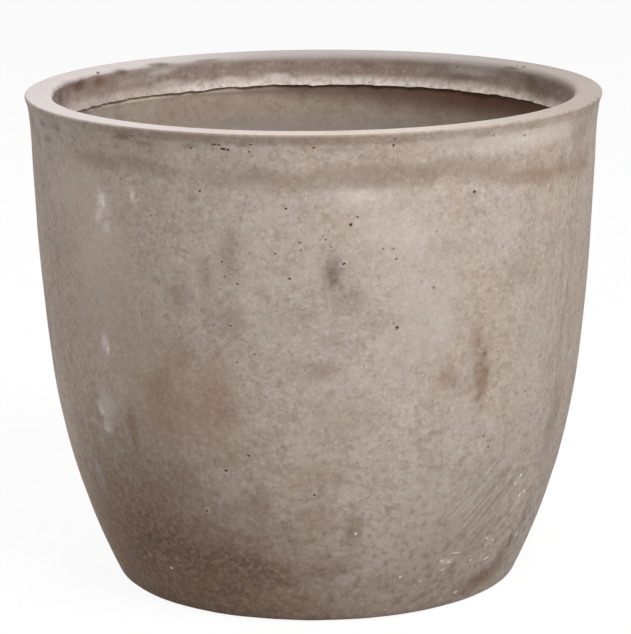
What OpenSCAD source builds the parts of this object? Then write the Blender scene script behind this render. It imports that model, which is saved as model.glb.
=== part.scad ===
// Concrete bowl planter: a cast pot with a flat lip and an undercut inner collar,
// a drain sleeve cast into its floor and a rubber stopper that lifts out of it.
// The origin is the centre of the base, on the ground, and +Z is up.

/* [Bowl outside] */
// Diameter over the bead of the rim
rim_d = 468; // [440:1:500]
// Overall height
pot_h = 400; // [360:1:440]
// Diameter at which the wall line meets the ground, before the corner is rounded
base_d = 329; // [300:1:350]
// Rounding of the corner between wall and ground
base_round = 6; // [3:0.5:12]
// Height of the shoulder, where the bowl's curve runs into the steep upper wall
shoulder_h = 180; // [150:1:210]
// Distance of the shoulder inside the rim's outline
shoulder_in = 16.8; // [12:0.1:24]
// Radius of the slight curve of the upper wall, seen from the side
wall_curve_r = 2035; // [1200:5:4000]

/* [Rim and lip] */
// Height of the band in which the wall flares out to the rim
flare_h = 36; // [20:1:50]
// Distance that the flare moves outwards
flare_out = 3.6; // [2:0.1:6]
// Radius of the half-round bead along the lip's outer edge
bead_r = 2; // [1:0.1:3]
// Distance that the bead stands proud of the flare
bead_proud = 0.8; // [0.2:0.1:1.5]
// Width of the lip, from the outside of the rim to the collar
lip_w = 22.5; // [20:0.5:32]
// Rounding of the lip's inner edge
lip_round = 5; // [2:0.5:10]

/* [Inner collar] */
// Height of the thick collar below the lip
collar_h = 28; // [20:1:45]
// Distance that the collar's lower edge stands in past its top
collar_in = 2; // [0:0.1:5]
// Depth of the hollow in the collar's face
collar_dish = 1.4; // [0.4:0.1:3]
// Rounding between the collar's underside and the wall, as far as the ledge has room
undercut_round = 4; // [1:0.5:5]

/* [Walls and floor] */
// Thickness of the wall below the collar
wall_t = 15; // [12:0.5:18]
// Height of the floor's top at the drain, above the ground
floor_t = 22; // [18:1:34]
// Slope of the floor down to the drain, in degrees
floor_fall = 1.5; // [0:0.25:4]
// Rounding between floor and wall
floor_round = 40; // [15:1:70]
// Width of the ring that the pot stands on
foot_w = 44; // [20:1:70]
// Depth of the hollow inside that ring
foot_hollow = 6; // [2:0.5:10]
// Rounding of the hollow's upper corner, as far as its depth allows
hollow_round = 4; // [1:0.5:6]

/* [Drain] */
// Outside diameter of the drain sleeve
sleeve_d = 32; // [26:0.5:44]
// Wall of the drain sleeve
sleeve_wall = 3; // [2:0.25:4]
// Chamfer at both mouths of the sleeve's bore
sleeve_chamfer = 0.8; // [0.2:0.1:1.5]
// Width of the flat ring of floor round the sleeve, on which the stopper seats
seat_w = 8; // [6:0.5:14]

/* [Stopper] */
// Clearance between the stopper's sealing rings and the sleeve, all round
plug_clear = 0.3; // [0.1:0.05:0.6]
// Distance that the stopper reaches past the sleeve's lower end
plug_past = 1; // [0:0.25:1.5]
// Number of sealing rings
ring_n = 3; // [1:1:4]
// Height of one sealing ring
ring_h = 3.2; // [2:0.1:4]
// Height of the cylindrical land at the top of each ring
ring_land = 0.6; // [0.3:0.1:1]
// Depth of the grooves between the rings
ring_depth = 1.4; // [0.5:0.1:2.5]
// Distance that the stopper's head reaches past the sleeve's bore
head_lap = 7; // [5:0.5:9]
// Thickness of the stopper's head
head_t = 4; // [2:0.5:7]
// Width of the pull tab
tab_w = 24; // [16:1:34]
// Thickness of the pull tab
tab_t = 5; // [3:0.5:7]
// Height of the pull tab above the head
tab_h = 13; // [9:0.5:20]
// Radius of the roll along the tab's top edge
tab_roll = 3.6; // [2.6:0.1:4.5]

/* [Hidden] */
$fn = 160;

// Number of sides of the small round edges and ends
small_fn = 48;
// Cutting tools reach this far past the faces that they open
over = 5;
// Largest distance between an arc of the outline and its chords
arc_error = 0.05;

// Every outline is read as [radius, height]. The outside has four corners:
rim_r = rim_d/2;
base_corner = [base_d/2, 0];
shoulder = [rim_r - shoulder_in, shoulder_h];
flare_top = [rim_r - bead_proud, pot_h - bead_r];
neck = [flare_top.x - flare_out, pot_h - flare_h];

// Centres of the three long arcs between them, each in line with the next
wall_c = centre_through(shoulder, neck, wall_curve_r);
bowl_c = centre_tangent(shoulder, wall_c, base_corner);
flare_c = centre_tangent(neck, wall_c, flare_top);
bowl_r = norm(shoulder - bowl_c);

// Rounded corner between the ground and the bowl's arc
foot_c = centre_in_corner(bowl_c, bowl_r, [0, 0], 0, base_round);
foot_top = on_circle(bowl_c, bowl_r, foot_c);

// Inner wall: the same arcs, one wall thickness further in
wall_in_r = wall_curve_r - wall_t;
bowl_in_r = bowl_r - wall_t;

// Collar, and the undercut that sets the wall back below it
collar_top = [rim_r - lip_w, pot_h - lip_round];
ledge = [rim_r - lip_w - collar_in, pot_h - collar_h];
undercut_room = wall_inside(ledge.y - undercut_round) - ledge.x;
undercut_r = min(undercut_round, undercut_room);
undercut_z = ledge.y - undercut_r;
undercut_end = [wall_inside(undercut_z), undercut_z];

// Drain, the flat seat round it, and the cone of floor that climbs to the wall
sleeve_r = sleeve_d/2;
bore_r = sleeve_r - sleeve_wall;
sleeve_h = floor_t - foot_hollow;
seat_edge = [sleeve_r + seat_w, floor_t];
floor_c = centre_in_corner(bowl_c, bowl_in_r, seat_edge, floor_fall, floor_round);
hollow_r = base_corner.x - foot_w;

// Stopper
plug_r = bore_r - plug_clear;
core_r = plug_r - ring_depth;
head_r = bore_r + head_lap;
plug_reach = sleeve_h + plug_past;

// Direction of p seen from c, in degrees
function bearing(c, p) = atan2(p.y - c.y, p.x - c.x);

// Points along the arc about c that starts at p and turns the short way to face q
function arc(c, p, q) =
    let (
        r = norm(p - c),
        start = bearing(c, p),
        turn = (bearing(c, q) - start + 540) % 360 - 180,
        n = ceil(abs(turn)/(2*acos(1 - arc_error/r)))
    )
    [for (i = [0:n]) c + r*[cos(start + turn*i/n), sin(start + turn*i/n)]];

// Point of the circle (c, r) that faces p
function on_circle(c, r, p) = c + r*(p - c)/norm(p - c);

// Centre of the arc of radius r through the lower point p and the upper point q,
// on the side of the pot's axis
function centre_through(p, q, r) =
    let (d = q - p, h = sqrt(r*r - d*d/4))
    (p + q)/2 + h*[-d.y, d.x]/norm(d);

// Centre of the arc through p and q that leaves p in line with the arc about c
function centre_tangent(p, c, q) =
    let (n = (c - p)/norm(c - p), d = q - p)
    p + n*(d*d)/(2*(d*n));

// Centre of a circle of radius f that lies inside the circle (c, r) and rests on
// the line through p that climbs outwards by a degrees
function centre_in_corner(c, r, p, a, f) =
    let (u = [cos(a), sin(a)], w = p + f*[-sin(a), cos(a)] - c, k = w*u)
    w + c + u*(sqrt(k*k - w*w + pow(r - f, 2)) - k);

// Centre of the shallow arc from the upper point p to the lower point q that bows
// away from the pot's axis by s
function centre_bowed(p, q, s) =
    let (d = q - p, r = (d*d/4 + s*s)/(2*s))
    (p + q)/2 + (r - s)*[d.y, -d.x]/norm(d);

// Radius of the upper wall's inside at height z
function wall_inside(z) = wall_c.x + sqrt(wall_in_r*wall_in_r - pow(z - wall_c.y, 2));

// The whole outside: along the ground, up the bowl, wall and flare, and over the bead
module outside_section() {
    bead_c = [rim_r - bead_r, pot_h - bead_r];
    polygon(concat(
        [[0, 0]],
        arc(foot_c, [foot_c.x, 0], foot_top),
        arc(bowl_c, foot_top, shoulder),
        arc(wall_c, shoulder, neck),
        arc(flare_c, neck, flare_top),
        [[bead_c.x, pot_h], [0, pot_h]]
    ));
    translate(bead_c)
        circle(bead_r, $fn = small_fn);
}

// The space inside, open at the top: mouth, collar, undercut, wall, cove and floor
module inside_section() {
    lip_inner = [collar_top.x + lip_round, pot_h];
    floor_end = floor_c + floor_round*[sin(floor_fall), -cos(floor_fall)];
    polygon(concat(
        [[0, pot_h + over], [lip_inner.x, pot_h + over]],
        arc([lip_inner.x, collar_top.y], lip_inner, collar_top),
        arc(centre_bowed(collar_top, ledge, collar_dish), collar_top, ledge),
        arc([undercut_end.x - undercut_r, undercut_z], [undercut_end.x - undercut_r, ledge.y],
            undercut_end),
        arc(wall_c, undercut_end, shoulder),
        arc(bowl_c, on_circle(bowl_c, bowl_in_r, shoulder), floor_c),
        arc(floor_c, on_circle(bowl_c, bowl_in_r, floor_c), floor_end),
        [seat_edge, [0, floor_t]]
    ));
}

// The shallow hollow under the floor, inside the ring that the pot stands on
module hollow_section() {
    round_r = min(hollow_round, foot_hollow);
    round_c = [hollow_r - round_r, foot_hollow - round_r];
    polygon(concat(
        [[0, -over], [hollow_r, -over]],
        arc(round_c, [hollow_r, round_c.y], [round_c.x, foot_hollow]),
        [[0, foot_hollow]]
    ));
}

// The casting
module pot_shell() {
    color("#a59a8f")
        difference() {
            rotate_extrude()
                difference() {
                    outside_section();
                    inside_section();
                    hollow_section();
                }
            cylinder(r = sleeve_r, h = floor_t + over);
        }
}

// The pipe that forms the drain hole and stays in the floor
module drain_sleeve() {
    mouth_r = bore_r + sleeve_chamfer;
    color("#6d6a66")
        translate([0, 0, foot_hollow])
            difference() {
                cylinder(r = sleeve_r, h = sleeve_h);
                translate([0, 0, -over])
                    cylinder(r = bore_r, h = sleeve_h + 2*over);
                cylinder(r1 = mouth_r, r2 = bore_r, h = sleeve_chamfer);
                translate([0, 0, sleeve_h - sleeve_chamfer])
                    cylinder(r1 = bore_r, r2 = mouth_r, h = sleeve_chamfer);
            }
}

// The stopper's stem and head as one outline, with rings that narrow downwards
module plug_section() {
    pitch = plug_reach/ring_n;
    edge_r = head_t/2;
    translate([0, floor_t - plug_reach]) {
        square([core_r, plug_reach + edge_r]);
        for (i = [0:ring_n - 1])
            translate([0, i*pitch])
                polygon([[0, 0], [core_r, 0], [plug_r, ring_h - ring_land], [plug_r, ring_h],
                         [0, ring_h]]);
    }
    translate([0, floor_t]) {
        square([head_r - edge_r, head_t]);
        square([head_r, edge_r]);
        translate([head_r - edge_r, edge_r])
            circle(edge_r, $fn = small_fn);
    }
}

// The pull tab: a plate with round ends that stands on the head and ends in a roll
module pull_tab() {
    root_z = floor_t + head_t/2;
    roll_z = floor_t + head_t + tab_h - tab_roll;
    half_roll = tab_w/2 - tab_roll;
    translate([-half_roll, -tab_t/2, root_z])
        cube([2*half_roll, tab_t, roll_z - root_z]);
    translate([-half_roll, 0, roll_z])
        rotate([0, 90, 0])
            cylinder(r = tab_roll, h = 2*half_roll, $fn = small_fn);
    for (side = [-1, 1])
        translate([side*half_roll, 0, root_z]) {
            cylinder(d = tab_t, h = roll_z - root_z, $fn = small_fn);
            translate([0, 0, roll_z - root_z])
                sphere(tab_roll, $fn = small_fn);
        }
}

// The rubber stopper
module drain_plug() {
    color("#2b2a29") {
        rotate_extrude()
            plug_section();
        pull_tab();
    }
}

pot_shell();
drain_sleeve();
drain_plug();
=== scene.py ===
"""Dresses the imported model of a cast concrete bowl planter: the weathered casting with its
air holes and chips, the drain sleeve, the rubber stopper, and a plain studio round them."""

import cmath
import math

import bpy
from mathutils import Matrix, Vector


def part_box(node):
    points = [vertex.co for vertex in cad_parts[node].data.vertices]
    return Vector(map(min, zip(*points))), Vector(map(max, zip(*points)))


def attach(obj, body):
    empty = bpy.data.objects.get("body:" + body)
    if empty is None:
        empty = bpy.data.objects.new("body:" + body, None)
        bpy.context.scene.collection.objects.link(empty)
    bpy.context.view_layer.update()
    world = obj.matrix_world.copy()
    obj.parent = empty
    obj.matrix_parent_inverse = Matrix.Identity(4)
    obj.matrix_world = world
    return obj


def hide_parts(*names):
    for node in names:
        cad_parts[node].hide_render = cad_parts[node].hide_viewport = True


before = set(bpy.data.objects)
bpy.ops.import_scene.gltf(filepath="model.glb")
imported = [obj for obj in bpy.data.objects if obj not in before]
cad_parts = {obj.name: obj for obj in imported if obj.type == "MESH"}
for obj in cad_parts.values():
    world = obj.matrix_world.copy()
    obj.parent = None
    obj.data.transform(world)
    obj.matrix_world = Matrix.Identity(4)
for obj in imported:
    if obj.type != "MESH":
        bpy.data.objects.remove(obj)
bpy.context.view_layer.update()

bl_info = {
    "name": "Concrete bowl planter",
    "version": (1, 0, 0),
    "blender": (4, 5, 0),
    "location": "3D View > Sidebar > Planter",
    "description": "Makes a weathered concrete planter with its drain sleeve and stopper",
    "category": "Add Mesh",
}

MM = 0.001
SHELL_LOW, SHELL_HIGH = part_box("pot_shell")

# A mark is an ellipsoid with its centre near the wall, so deep that it takes in the slope of the
# wall over its whole height: distance of the centre from the pot's axis, and half depth.
MARK_RADIUS, MARK_DEPTH = 0.22, 0.25
# Noise that makes the edges of stains and painted shade wander, in metres: its size, how far it
# reaches on the wall and on the collar, and the share of the wall's reach by which bands of
# height wander.
WANDER_SIZE, WALL_WANDER, COLLAR_WANDER, BAND_WANDER = 0.024, 0.030, 0.012, 0.13
# Size of the noise that tears the ledge, in metres, and the number of rows of points on each
# side of the ledge's corner over which it sets in.
TEAR_SIZE, TEAR_ROWS = 0.020, 5
# The mould's waves: size in metres and share of their depth, the level of the noise under which
# the skin sinks, and the share of all three waves that is left in the flare.
WAVES = ((0.190, 1.0), (0.060, 0.55), (0.014, 0.13))
WAVE_LEVEL, FLARE_WAVES = 0.52, 0.4
# Scale that keeps the uneven casting inside the solid's box.
KEPT_INSIDE = 0.9994
# Stray air holes, in metres: least and greatest half sizes, and least distance from each other
# and from a hole in the table. The last two are size and reach of the noise on every hole.
STRAY_LEAST, STRAY_MOST = (0.0005, 0.0004, 0.0003), (0.0012, 0.0008, 0.0006)
STRAY_APART, STRAY_CLEAR = 0.007, 0.008
HOLE_NOISE, HOLE_REACH = 0.0022, 0.0016

# Air holes that stand out on the wall: degrees round from the front (+ to the right), height,
# half width, half height and depth in millimetres, and tilt in degrees.
WALL_PITS = (
    (-18.6, 390.9, 2.0, 0.8, 1.2, 4), (-17.7, 390.5, 1.4, 0.7, 1.0, -10),
    (-16.9, 387.7, 2.1, 1.2, 1.5, -6), (-16.0, 387.1, 1.3, 1.0, 1.2, 15),
    (-12.0, 386.2, 0.8, 0.7, 0.7, 0), (-19.0, 390.2, 1.0, 0.6, 0.8, 0),
    (-23.4, 387.1, 1.6, 0.7, 0.8, 5), (-36.4, 392.3, 1.8, 0.7, 0.8, -4),
    (-11.6, 391.5, 1.7, 0.6, 0.7, 0), (0.0, 389.7, 1.2, 0.8, 0.8, 20),
    (14.8, 389.6, 1.3, 1.2, 1.4, 70), (14.9, 395.0, 0.9, 0.6, 0.7, 0),
    (31.9, 348.8, 1.5, 1.3, 1.5, 30), (6.8, 330.6, 1.5, 1.3, 1.5, 60),
    (8.1, 336.5, 0.9, 0.7, 0.7, 0), (-5.3, 343.3, 1.3, 0.8, 0.8, 0),
    (5.5, 300.8, 1.5, 1.1, 1.4, 40), (15.7, 302.7, 1.0, 0.8, 0.8, 0),
    (16.1, 248.8, 1.5, 1.2, 1.5, 80), (15.3, 252.6, 0.8, 0.6, 0.6, 0),
    (2.1, 319.5, 0.9, 0.7, 0.7, 0), (3.0, 314.1, 0.9, 0.6, 0.6, 0),
    (23.4, 277.8, 0.9, 0.7, 0.7, 0), (-21.9, 354.6, 1.2, 0.9, 0.9, 30),
    (-4.8, 289.6, 1.3, 0.9, 1.0, -20), (-2.8, 317.4, 1.1, 0.7, 0.8, 0),
    (-2.6, 311.8, 0.9, 0.7, 0.7, 0), (-7.4, 308.7, 0.9, 0.7, 0.7, 0),
    (15.1, 310.6, 0.8, 0.6, 0.6, 0), (-17.9, 301.0, 1.1, 0.8, 0.9, 45),
    (-14.9, 284.5, 1.1, 0.9, 1.0, 0), (-16.6, 251.3, 1.0, 0.8, 0.8, 0),
    (-67.3, 302.2, 1.5, 0.9, 0.9, 80), (-32.8, 332.0, 1.0, 0.7, 0.7, 0),
    (-19.4, 133.2, 1.4, 1.0, 1.3, 10), (-14.1, 147.2, 1.3, 0.9, 1.0, 0),
    (-25.1, 96.7, 1.4, 1.1, 1.2, 60), (-0.4, 115.8, 1.2, 0.9, 1.1, 0),
    (37.6, 151.6, 1.2, 0.9, 0.9, 30), (39.4, 141.2, 1.2, 0.8, 0.9, 0),
    (53.4, 206.0, 1.1, 0.8, 0.8, 0), (-17.4, 290.0, 0.9, 0.7, 0.7, 0),
    (96.0, 318.0, 1.7, 1.1, 1.4, 20), (112.0, 240.0, 1.3, 0.9, 1.1, 50),
    (131.0, 352.0, 1.6, 1.0, 1.3, 0), (134.0, 349.5, 1.2, 0.8, 0.9, 10),
    (150.0, 187.0, 1.4, 1.0, 1.1, 70), (170.0, 296.0, 1.8, 1.2, 1.5, 15),
    (-171.0, 121.0, 1.5, 1.0, 1.2, 0), (-158.0, 361.0, 1.6, 0.8, 1.0, -8),
    (-156.2, 359.2, 1.2, 0.8, 1.0, 12), (-139.0, 268.0, 1.6, 1.1, 1.4, 40),
    (-121.0, 333.0, 1.2, 0.9, 1.0, 0), (-104.0, 208.0, 1.5, 1.0, 1.2, 30),
    (-93.0, 92.0, 1.4, 1.0, 1.1, 0),
)

# Broken places on lip, collar and base: degrees round, distance from the axis, height, half
# width, half height and depth in millimetres, and tilt in degrees.
CHIPS = (
    (123.4, 214.0, 399.4, 2.6, 1.4, 1.0, 30), (125.8, 214.3, 399.6, 1.5, 1.0, 0.7, 0),
    (-121.0, 212.8, 398.2, 2.2, 1.0, 0.8, 10), (161.0, 226.0, 400.0, 1.6, 0.9, 0.6, 0),
    (75.0, 233.6, 399.6, 1.8, 0.9, 0.6, 0), (-165.0, 233.8, 399.6, 2.0, 0.9, 0.7, 0),
    (-30.0, 160.6, 1.6, 4.6, 1.6, 1.3, 6), (48.0, 161.0, 2.4, 3.6, 1.5, 1.2, -8),
    (140.0, 160.8, 2.0, 4.4, 1.6, 1.4, 5), (-112.0, 160.8, 1.8, 3.2, 1.4, 1.1, 0),
)

# Marks on the wall's skin, each laid over those before it: degrees round, height, half width and
# half height in millimetres, tilt in degrees, colour, strength, and the share of the half width
# over which the edge fades (1 fades from the very centre).
WALL_MARKS = (
    # paler and darker patches, and the painted shade along the foot where the pot meets the ground
    (-56.0, 346.0, 50, 40, 0, "C6B7B0", 0.60, 1.0),
    (-55.0, 255.0, 40, 56, 0, "B8A79C", 0.30, 1.0),
    (-48.0, 305.0, 60, 84, 0, "CDBBAD", 0.66, 1.0),
    (8.5, 350.0, 40, 20, -6, "C6BEBA", 0.55, 1.0),
    (17.4, 326.0, 56, 42, 0, "C6BCB7", 0.62, 1.0),
    (21.0, 256.0, 50, 62, 0, "C2B9B3", 0.58, 1.0),
    (46.0, 384.0, 96, 13, 0, "DCD3CA", 0.60, 1.0),
    (9.5, 354.0, 36, 10, 0, "DAD1CA", 0.55, 1.0),
    (-12.0, 360.0, 46, 10, 0, "CCC1B9", 0.30, 1.0),
    (32.0, 75.0, 80, 56, 0, "C2B6AC", 0.32, 1.0),
    # painted shade: a dark line along the foot where the wall turns under to the ground
    (-8.0, 0.0, 260, 7, 0, "4A3B32", 0.85, 1.0),
    (52.0, 230.0, 66, 110, 0, "C2BBB8", 0.20, 1.0),
    (-46.0, 255.0, 60, 92, 0, "C8B8AA", 0.26, 1.0),
    (38.0, 98.0, 34, 40, 0, "BBB1AA", 0.50, 1.0),
    (61.0, 62.0, 13, 44, 0, "7A6A5E", 0.45, 1.0),
    (25.6, 246.0, 15, 36, 0, "C4BAB5", 0.55, 0.95),
    (27.0, 290.0, 13, 36, 0, "BFB5B0", 0.40, 0.95),
    (24.7, 101.0, 38, 40, 20, "B8AEAB", 0.40, 1.0),
    (40.0, 53.0, 24, 9, 12, "B4A9A4", 0.50, 0.9),
    (-34.3, 246.0, 15, 44, 0, "AE9C92", 0.40, 1.0),
    (-16.1, 307.0, 16, 38, 0, "735F4E", 0.50, 0.95),
    (-21.3, 290.0, 12, 24, 10, "6E5A4A", 0.40, 0.95),
    (-5.0, 262.0, 22, 16, 0, "7C6F66", 0.25, 1.0),
    (11.7, 254.0, 13, 13, 0, "796C63", 0.40, 0.95),
    (44.0, 280.0, 26, 26, 0, "82756C", 0.35, 1.0),
    (63.3, 146.0, 16, 60, 0, "6F6259", 0.45, 1.0),
    (-78.0, 210.0, 16, 60, 0, "6E5C50", 0.45, 1.0),
    # dark brown low on the wall, partly soil that rose from the ground and partly painted shade,
    # darkest at the lower left
    (-38.0, 225.0, 70, 100, 0, "A8917F", 0.36, 1.0),
    (-28.0, 176.0, 70, 72, 0, "8F7664", 0.60, 1.0),
    (-45.0, 0.0, 170, 198, 0, "6E5340", 0.95, 0.65),
    (-12.0, 0.0, 110, 120, 0, "765E4B", 0.60, 0.8),
    (30.0, 30.0, 110, 95, 0, "978576", 0.50, 1.0),
    (14.0, -14.0, 200, 56, 0, "84705F", 0.45, 1.0),
    (-50.0, 46.0, 30, 34, 0, "54403A", 0.55, 1.0),
    (-42.0, 60.0, 30, 20, -8, "4E382A", 0.60, 1.0),
    (-22.0, 26.0, 30, 16, 0, "55402F", 0.50, 1.0),
    (-14.0, 46.0, 38, 18, 0, "5A4232", 0.62, 0.9),
    (-20.0, 56.0, 34, 19, 0, "584232", 0.55, 0.9), (-31.0, 50.0, 30, 20, 0, "543F2F", 0.45, 0.9),
    (-9.0, 38.0, 34, 9, 0, "6B5342", 0.50, 0.9), (3.0, 52.0, 34, 12, 0, "7D6757", 0.45, 0.9),
    (0.0, 128.0, 44, 26, 0, "94806F", 0.45, 1.0), (6.0, 180.0, 50, 26, 0, "9B8979", 0.40, 1.0),
    (-12.5, 108.0, 17, 26, 0, "77604F", 0.55, 0.9),
    (-20.0, 196.0, 25, 46, 0, "8C6E57", 0.45, 0.9),
    (-33.0, 196.0, 20, 34, 0, "806653", 0.45, 0.9),
    (-42.0, 156.0, 8, 36, 0, "7E5F44", 0.62, 0.85),
    (-17.0, 180.0, 16, 12, 0, "75604F", 0.40, 0.95),
    (-30.5, 124.0, 24, 22, 0, "7A6350", 0.45, 0.95),
    (-28.0, 227.0, 18, 28, 0, "86705E", 0.40, 0.95),
    (0.0, 92.0, 24, 26, 0, "8A705B", 0.50, 0.95),
    (1.3, 47.0, 26, 9, 0, "6B5442", 0.50, 0.95),
    (17.2, 34.0, 30, 13, 0, "7A6859", 0.40, 0.95),
    (150.0, 0.0, 190, 110, 0, "7C6858", 0.70, 0.9),
    (-125.0, 0.0, 170, 130, 0, "6E5848", 0.80, 0.9),
    (100.0, 10.0, 90, 80, 0, "80705F", 0.60, 0.9),
    # the dark smudge in the middle and its trail
    (3.4, 292.0, 14, 21, 0, "544941", 0.78, 0.95),
    (7.0, 276.0, 26, 13, -35, "6B5F56", 0.42, 1.0),
    # pale cement skin on the left
    (-45.0, 330.0, 14, 32, 4, "CFC7C3", 0.62, 0.95),
    (-49.0, 316.0, 5, 12, 20, "BDB7B4", 0.55, 0.9),
    (-37.0, 345.0, 4.0, 12, 24, "EDE6E0", 0.75, 0.9),
    (-48.5, 266.0, 8, 20, 0, "BDB4AF", 0.45, 0.95),
    (-47.4, 222.0, 5.0, 14, 16, "F2ECE6", 0.85, 0.9),
    (-51.2, 166.0, 8, 10, 30, "EBE4DE", 0.80, 0.9),
    (-50.2, 152.0, 9, 9, 0, "E0D8D2", 0.70, 0.9),
    (-49.3, 170.0, 15, 24, 0, "C2BBB8", 0.80, 0.9),
    (-58.0, 105.5, 7, 24, 10, "A8A3A4", 0.50, 0.9),
    (-83.0, 235.0, 16, 60, 0, "B3ADAD", 0.45, 1.0),
    (-45.2, 338.0, 6, 11, 14, "F4EFEA", 0.88, 0.9), (-46.6, 326.0, 6, 8, -20, "EDE7E2", 0.75, 0.9),
    (-44.4, 318.0, 5, 7, 0, "E4DDD8", 0.55, 0.9),
    # fresh flecks low on the right
    (33.4, 45.0, 12, 4, 0, "D8CFC5", 0.60, 0.9), (52.0, 104.0, 7, 6, 0, "D6CCC2", 0.60, 0.9),
    (55.6, 84.0, 7, 7, 0, "D8CFC4", 0.60, 0.9), (46.5, 56.0, 12, 7, -30, "CEC4BA", 0.50, 0.9),
    # brown bands and clouds under the rim, and a few lower down
    (36.0, 362.0, 26, 11, 0, "87705C", 0.62, 0.95),
    (48.0, 354.5, 46, 12, -4, "88705C", 0.58, 0.8),
    (66.0, 352.0, 40, 15, 0, "86705E", 0.62, 0.8),
    (12.0, 366.0, 150, 13, 2, "88786A", 0.60, 0.55), (-38.0, 369.0, 90, 10, -2, "887A71", 0.35, 0.7),
    (50.0, 354.0, 70, 9, -2, "88705A", 0.45, 0.6), (20.5, 365.5, 28, 10, 0, "837367", 0.50, 0.95),
    (41.0, 353.0, 14, 8, 0, "88725F", 0.35, 0.9), (57.5, 358.0, 10, 17, 0, "7C685A", 0.50, 0.9),
    (-33.0, 371.0, 36, 9, -8, "7C6E66", 0.50, 0.95), (-27.5, 270.0, 18, 28, 0, "836E5C", 0.45, 0.95),
    (-16.5, 254.0, 14, 26, 0, "7E6855", 0.45, 0.95), (0.0, 218.0, 34, 14, 0, "8C7766", 0.40, 0.95),
    (-14.0, 368.0, 52, 14, 0, "86766A", 0.60, 1.0),
    (-45.0, 369.0, 60, 10, 2, "877A72", 0.40, 1.0),
    (65.0, 378.0, 30, 26, 0, "8C7867", 0.50, 1.0),
    # smudges close under the bead
    (-76.0, 384.0, 18, 14, 0, "736A69", 0.60, 0.95), (-67.0, 387.0, 10, 4.5, 0, "6E6465", 0.70, 0.8),
    (-65.0, 376.0, 12, 5.5, 10, "6E6464", 0.60, 0.9), (-71.0, 372.0, 8, 12, 20, "756B6B", 0.50, 0.9),
    (-60.0, 388.0, 12, 3.5, 0, "786A63", 0.60, 0.8), (-80.0, 356.0, 12, 22, 0, "7C7172", 0.45, 0.95),
    (-38.5, 390.5, 15, 3.4, 4, "675952", 0.75, 0.8), (-33.5, 388.0, 12, 2.8, -4, "6C5D55", 0.70, 0.8),
    (-29.0, 395.5, 12, 2.6, 0, "5E4E46", 0.75, 0.8), (-23.5, 389.0, 10, 2.6, 4, "6B5D55", 0.65, 0.8),
    (-13.0, 391.0, 10, 2.4, 0, "706158", 0.60, 0.8), (-9.0, 395.0, 16, 2.8, 0, "735D4C", 0.70, 0.8),
    (5.0, 388.0, 20, 3.0, 0, "8A786B", 0.45, 0.9), (14.5, 392.5, 12, 3.0, 0, "7D6B5E", 0.55, 0.9),
    (33.0, 391.0, 14, 2.6, 0, "85776E", 0.50, 0.9), (46.0, 392.5, 12, 2.4, 0, "877A72", 0.50, 0.9),
    # the brown streak on the right, with its dots, and a few other spots of rust
    (33.6, 236.0, 10, 15, 0, "7C5A42", 0.50, 0.9),
    (35.2, 205.0, 17, 46, 0, "836853", 0.42, 0.95),
    (35.8, 202.0, 11, 26, 0, "7A5A40", 0.44, 0.9),
    (33.9, 230.0, 5, 6, 0, "6E4A2C", 0.60, 0.9), (35.6, 220.0, 5, 6, 0, "6A472A", 0.65, 0.9),
    (34.4, 209.0, 6, 5, 0, "6E4A2C", 0.65, 0.9), (36.4, 205.0, 5, 6, 0, "66431F", 0.70, 0.9),
    (35.0, 197.0, 6, 5, 0, "68452A", 0.70, 0.9), (36.2, 190.0, 5, 5, 0, "6E4A2C", 0.60, 0.9),
    (34.8, 184.0, 5, 5, 0, "72502F", 0.50, 0.9), (36.2, 176.0, 4, 5, 0, "76563A", 0.45, 0.9),
    (26.4, 208.0, 5, 5, 0, "806046", 0.50, 0.9), (28.8, 199.0, 6, 5, 0, "7C5C42", 0.50, 0.9),
    (27.6, 204.0, 14, 13, 0, "846C5A", 0.50, 0.9),
    (1.0, 217.0, 13, 9, 0, "8C7464", 0.35, 0.9),
    (8.0, 84.0, 13, 28, 4, "785A3A", 0.62, 0.95),
    (56.5, 32.0, 17, 19, 20, "6E5442", 0.70, 0.95),
    (49.5, 18.0, 42, 15, 6, "75543F", 0.85, 0.85),
    (57.4, 46.0, 6, 9, 20, "6A4426", 0.80, 0.8),
    (-70.7, 396.5, 6, 7, 0, "A8875F", 0.40, 0.9),
    # stains and pale patches round the back
    (112.0, 210.0, 12, 46, 4, "6F4F35", 0.50, 0.9),
    (-150.0, 262.0, 9, 52, -3, "745843", 0.45, 0.9),
    (165.0, 354.0, 76, 10, 2, "80654F", 0.50, 0.95),
    (-108.0, 358.0, 80, 9, -2, "80654F", 0.45, 0.95),
    (120.0, 300.0, 46, 30, 0, "C0B6B1", 0.40, 1.0),
    (-160.0, 180.0, 40, 60, 0, "BDB3AE", 0.40, 1.0),
    (172.0, 240.0, 20, 30, 0, "6E6259", 0.45, 0.95),
)

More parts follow.
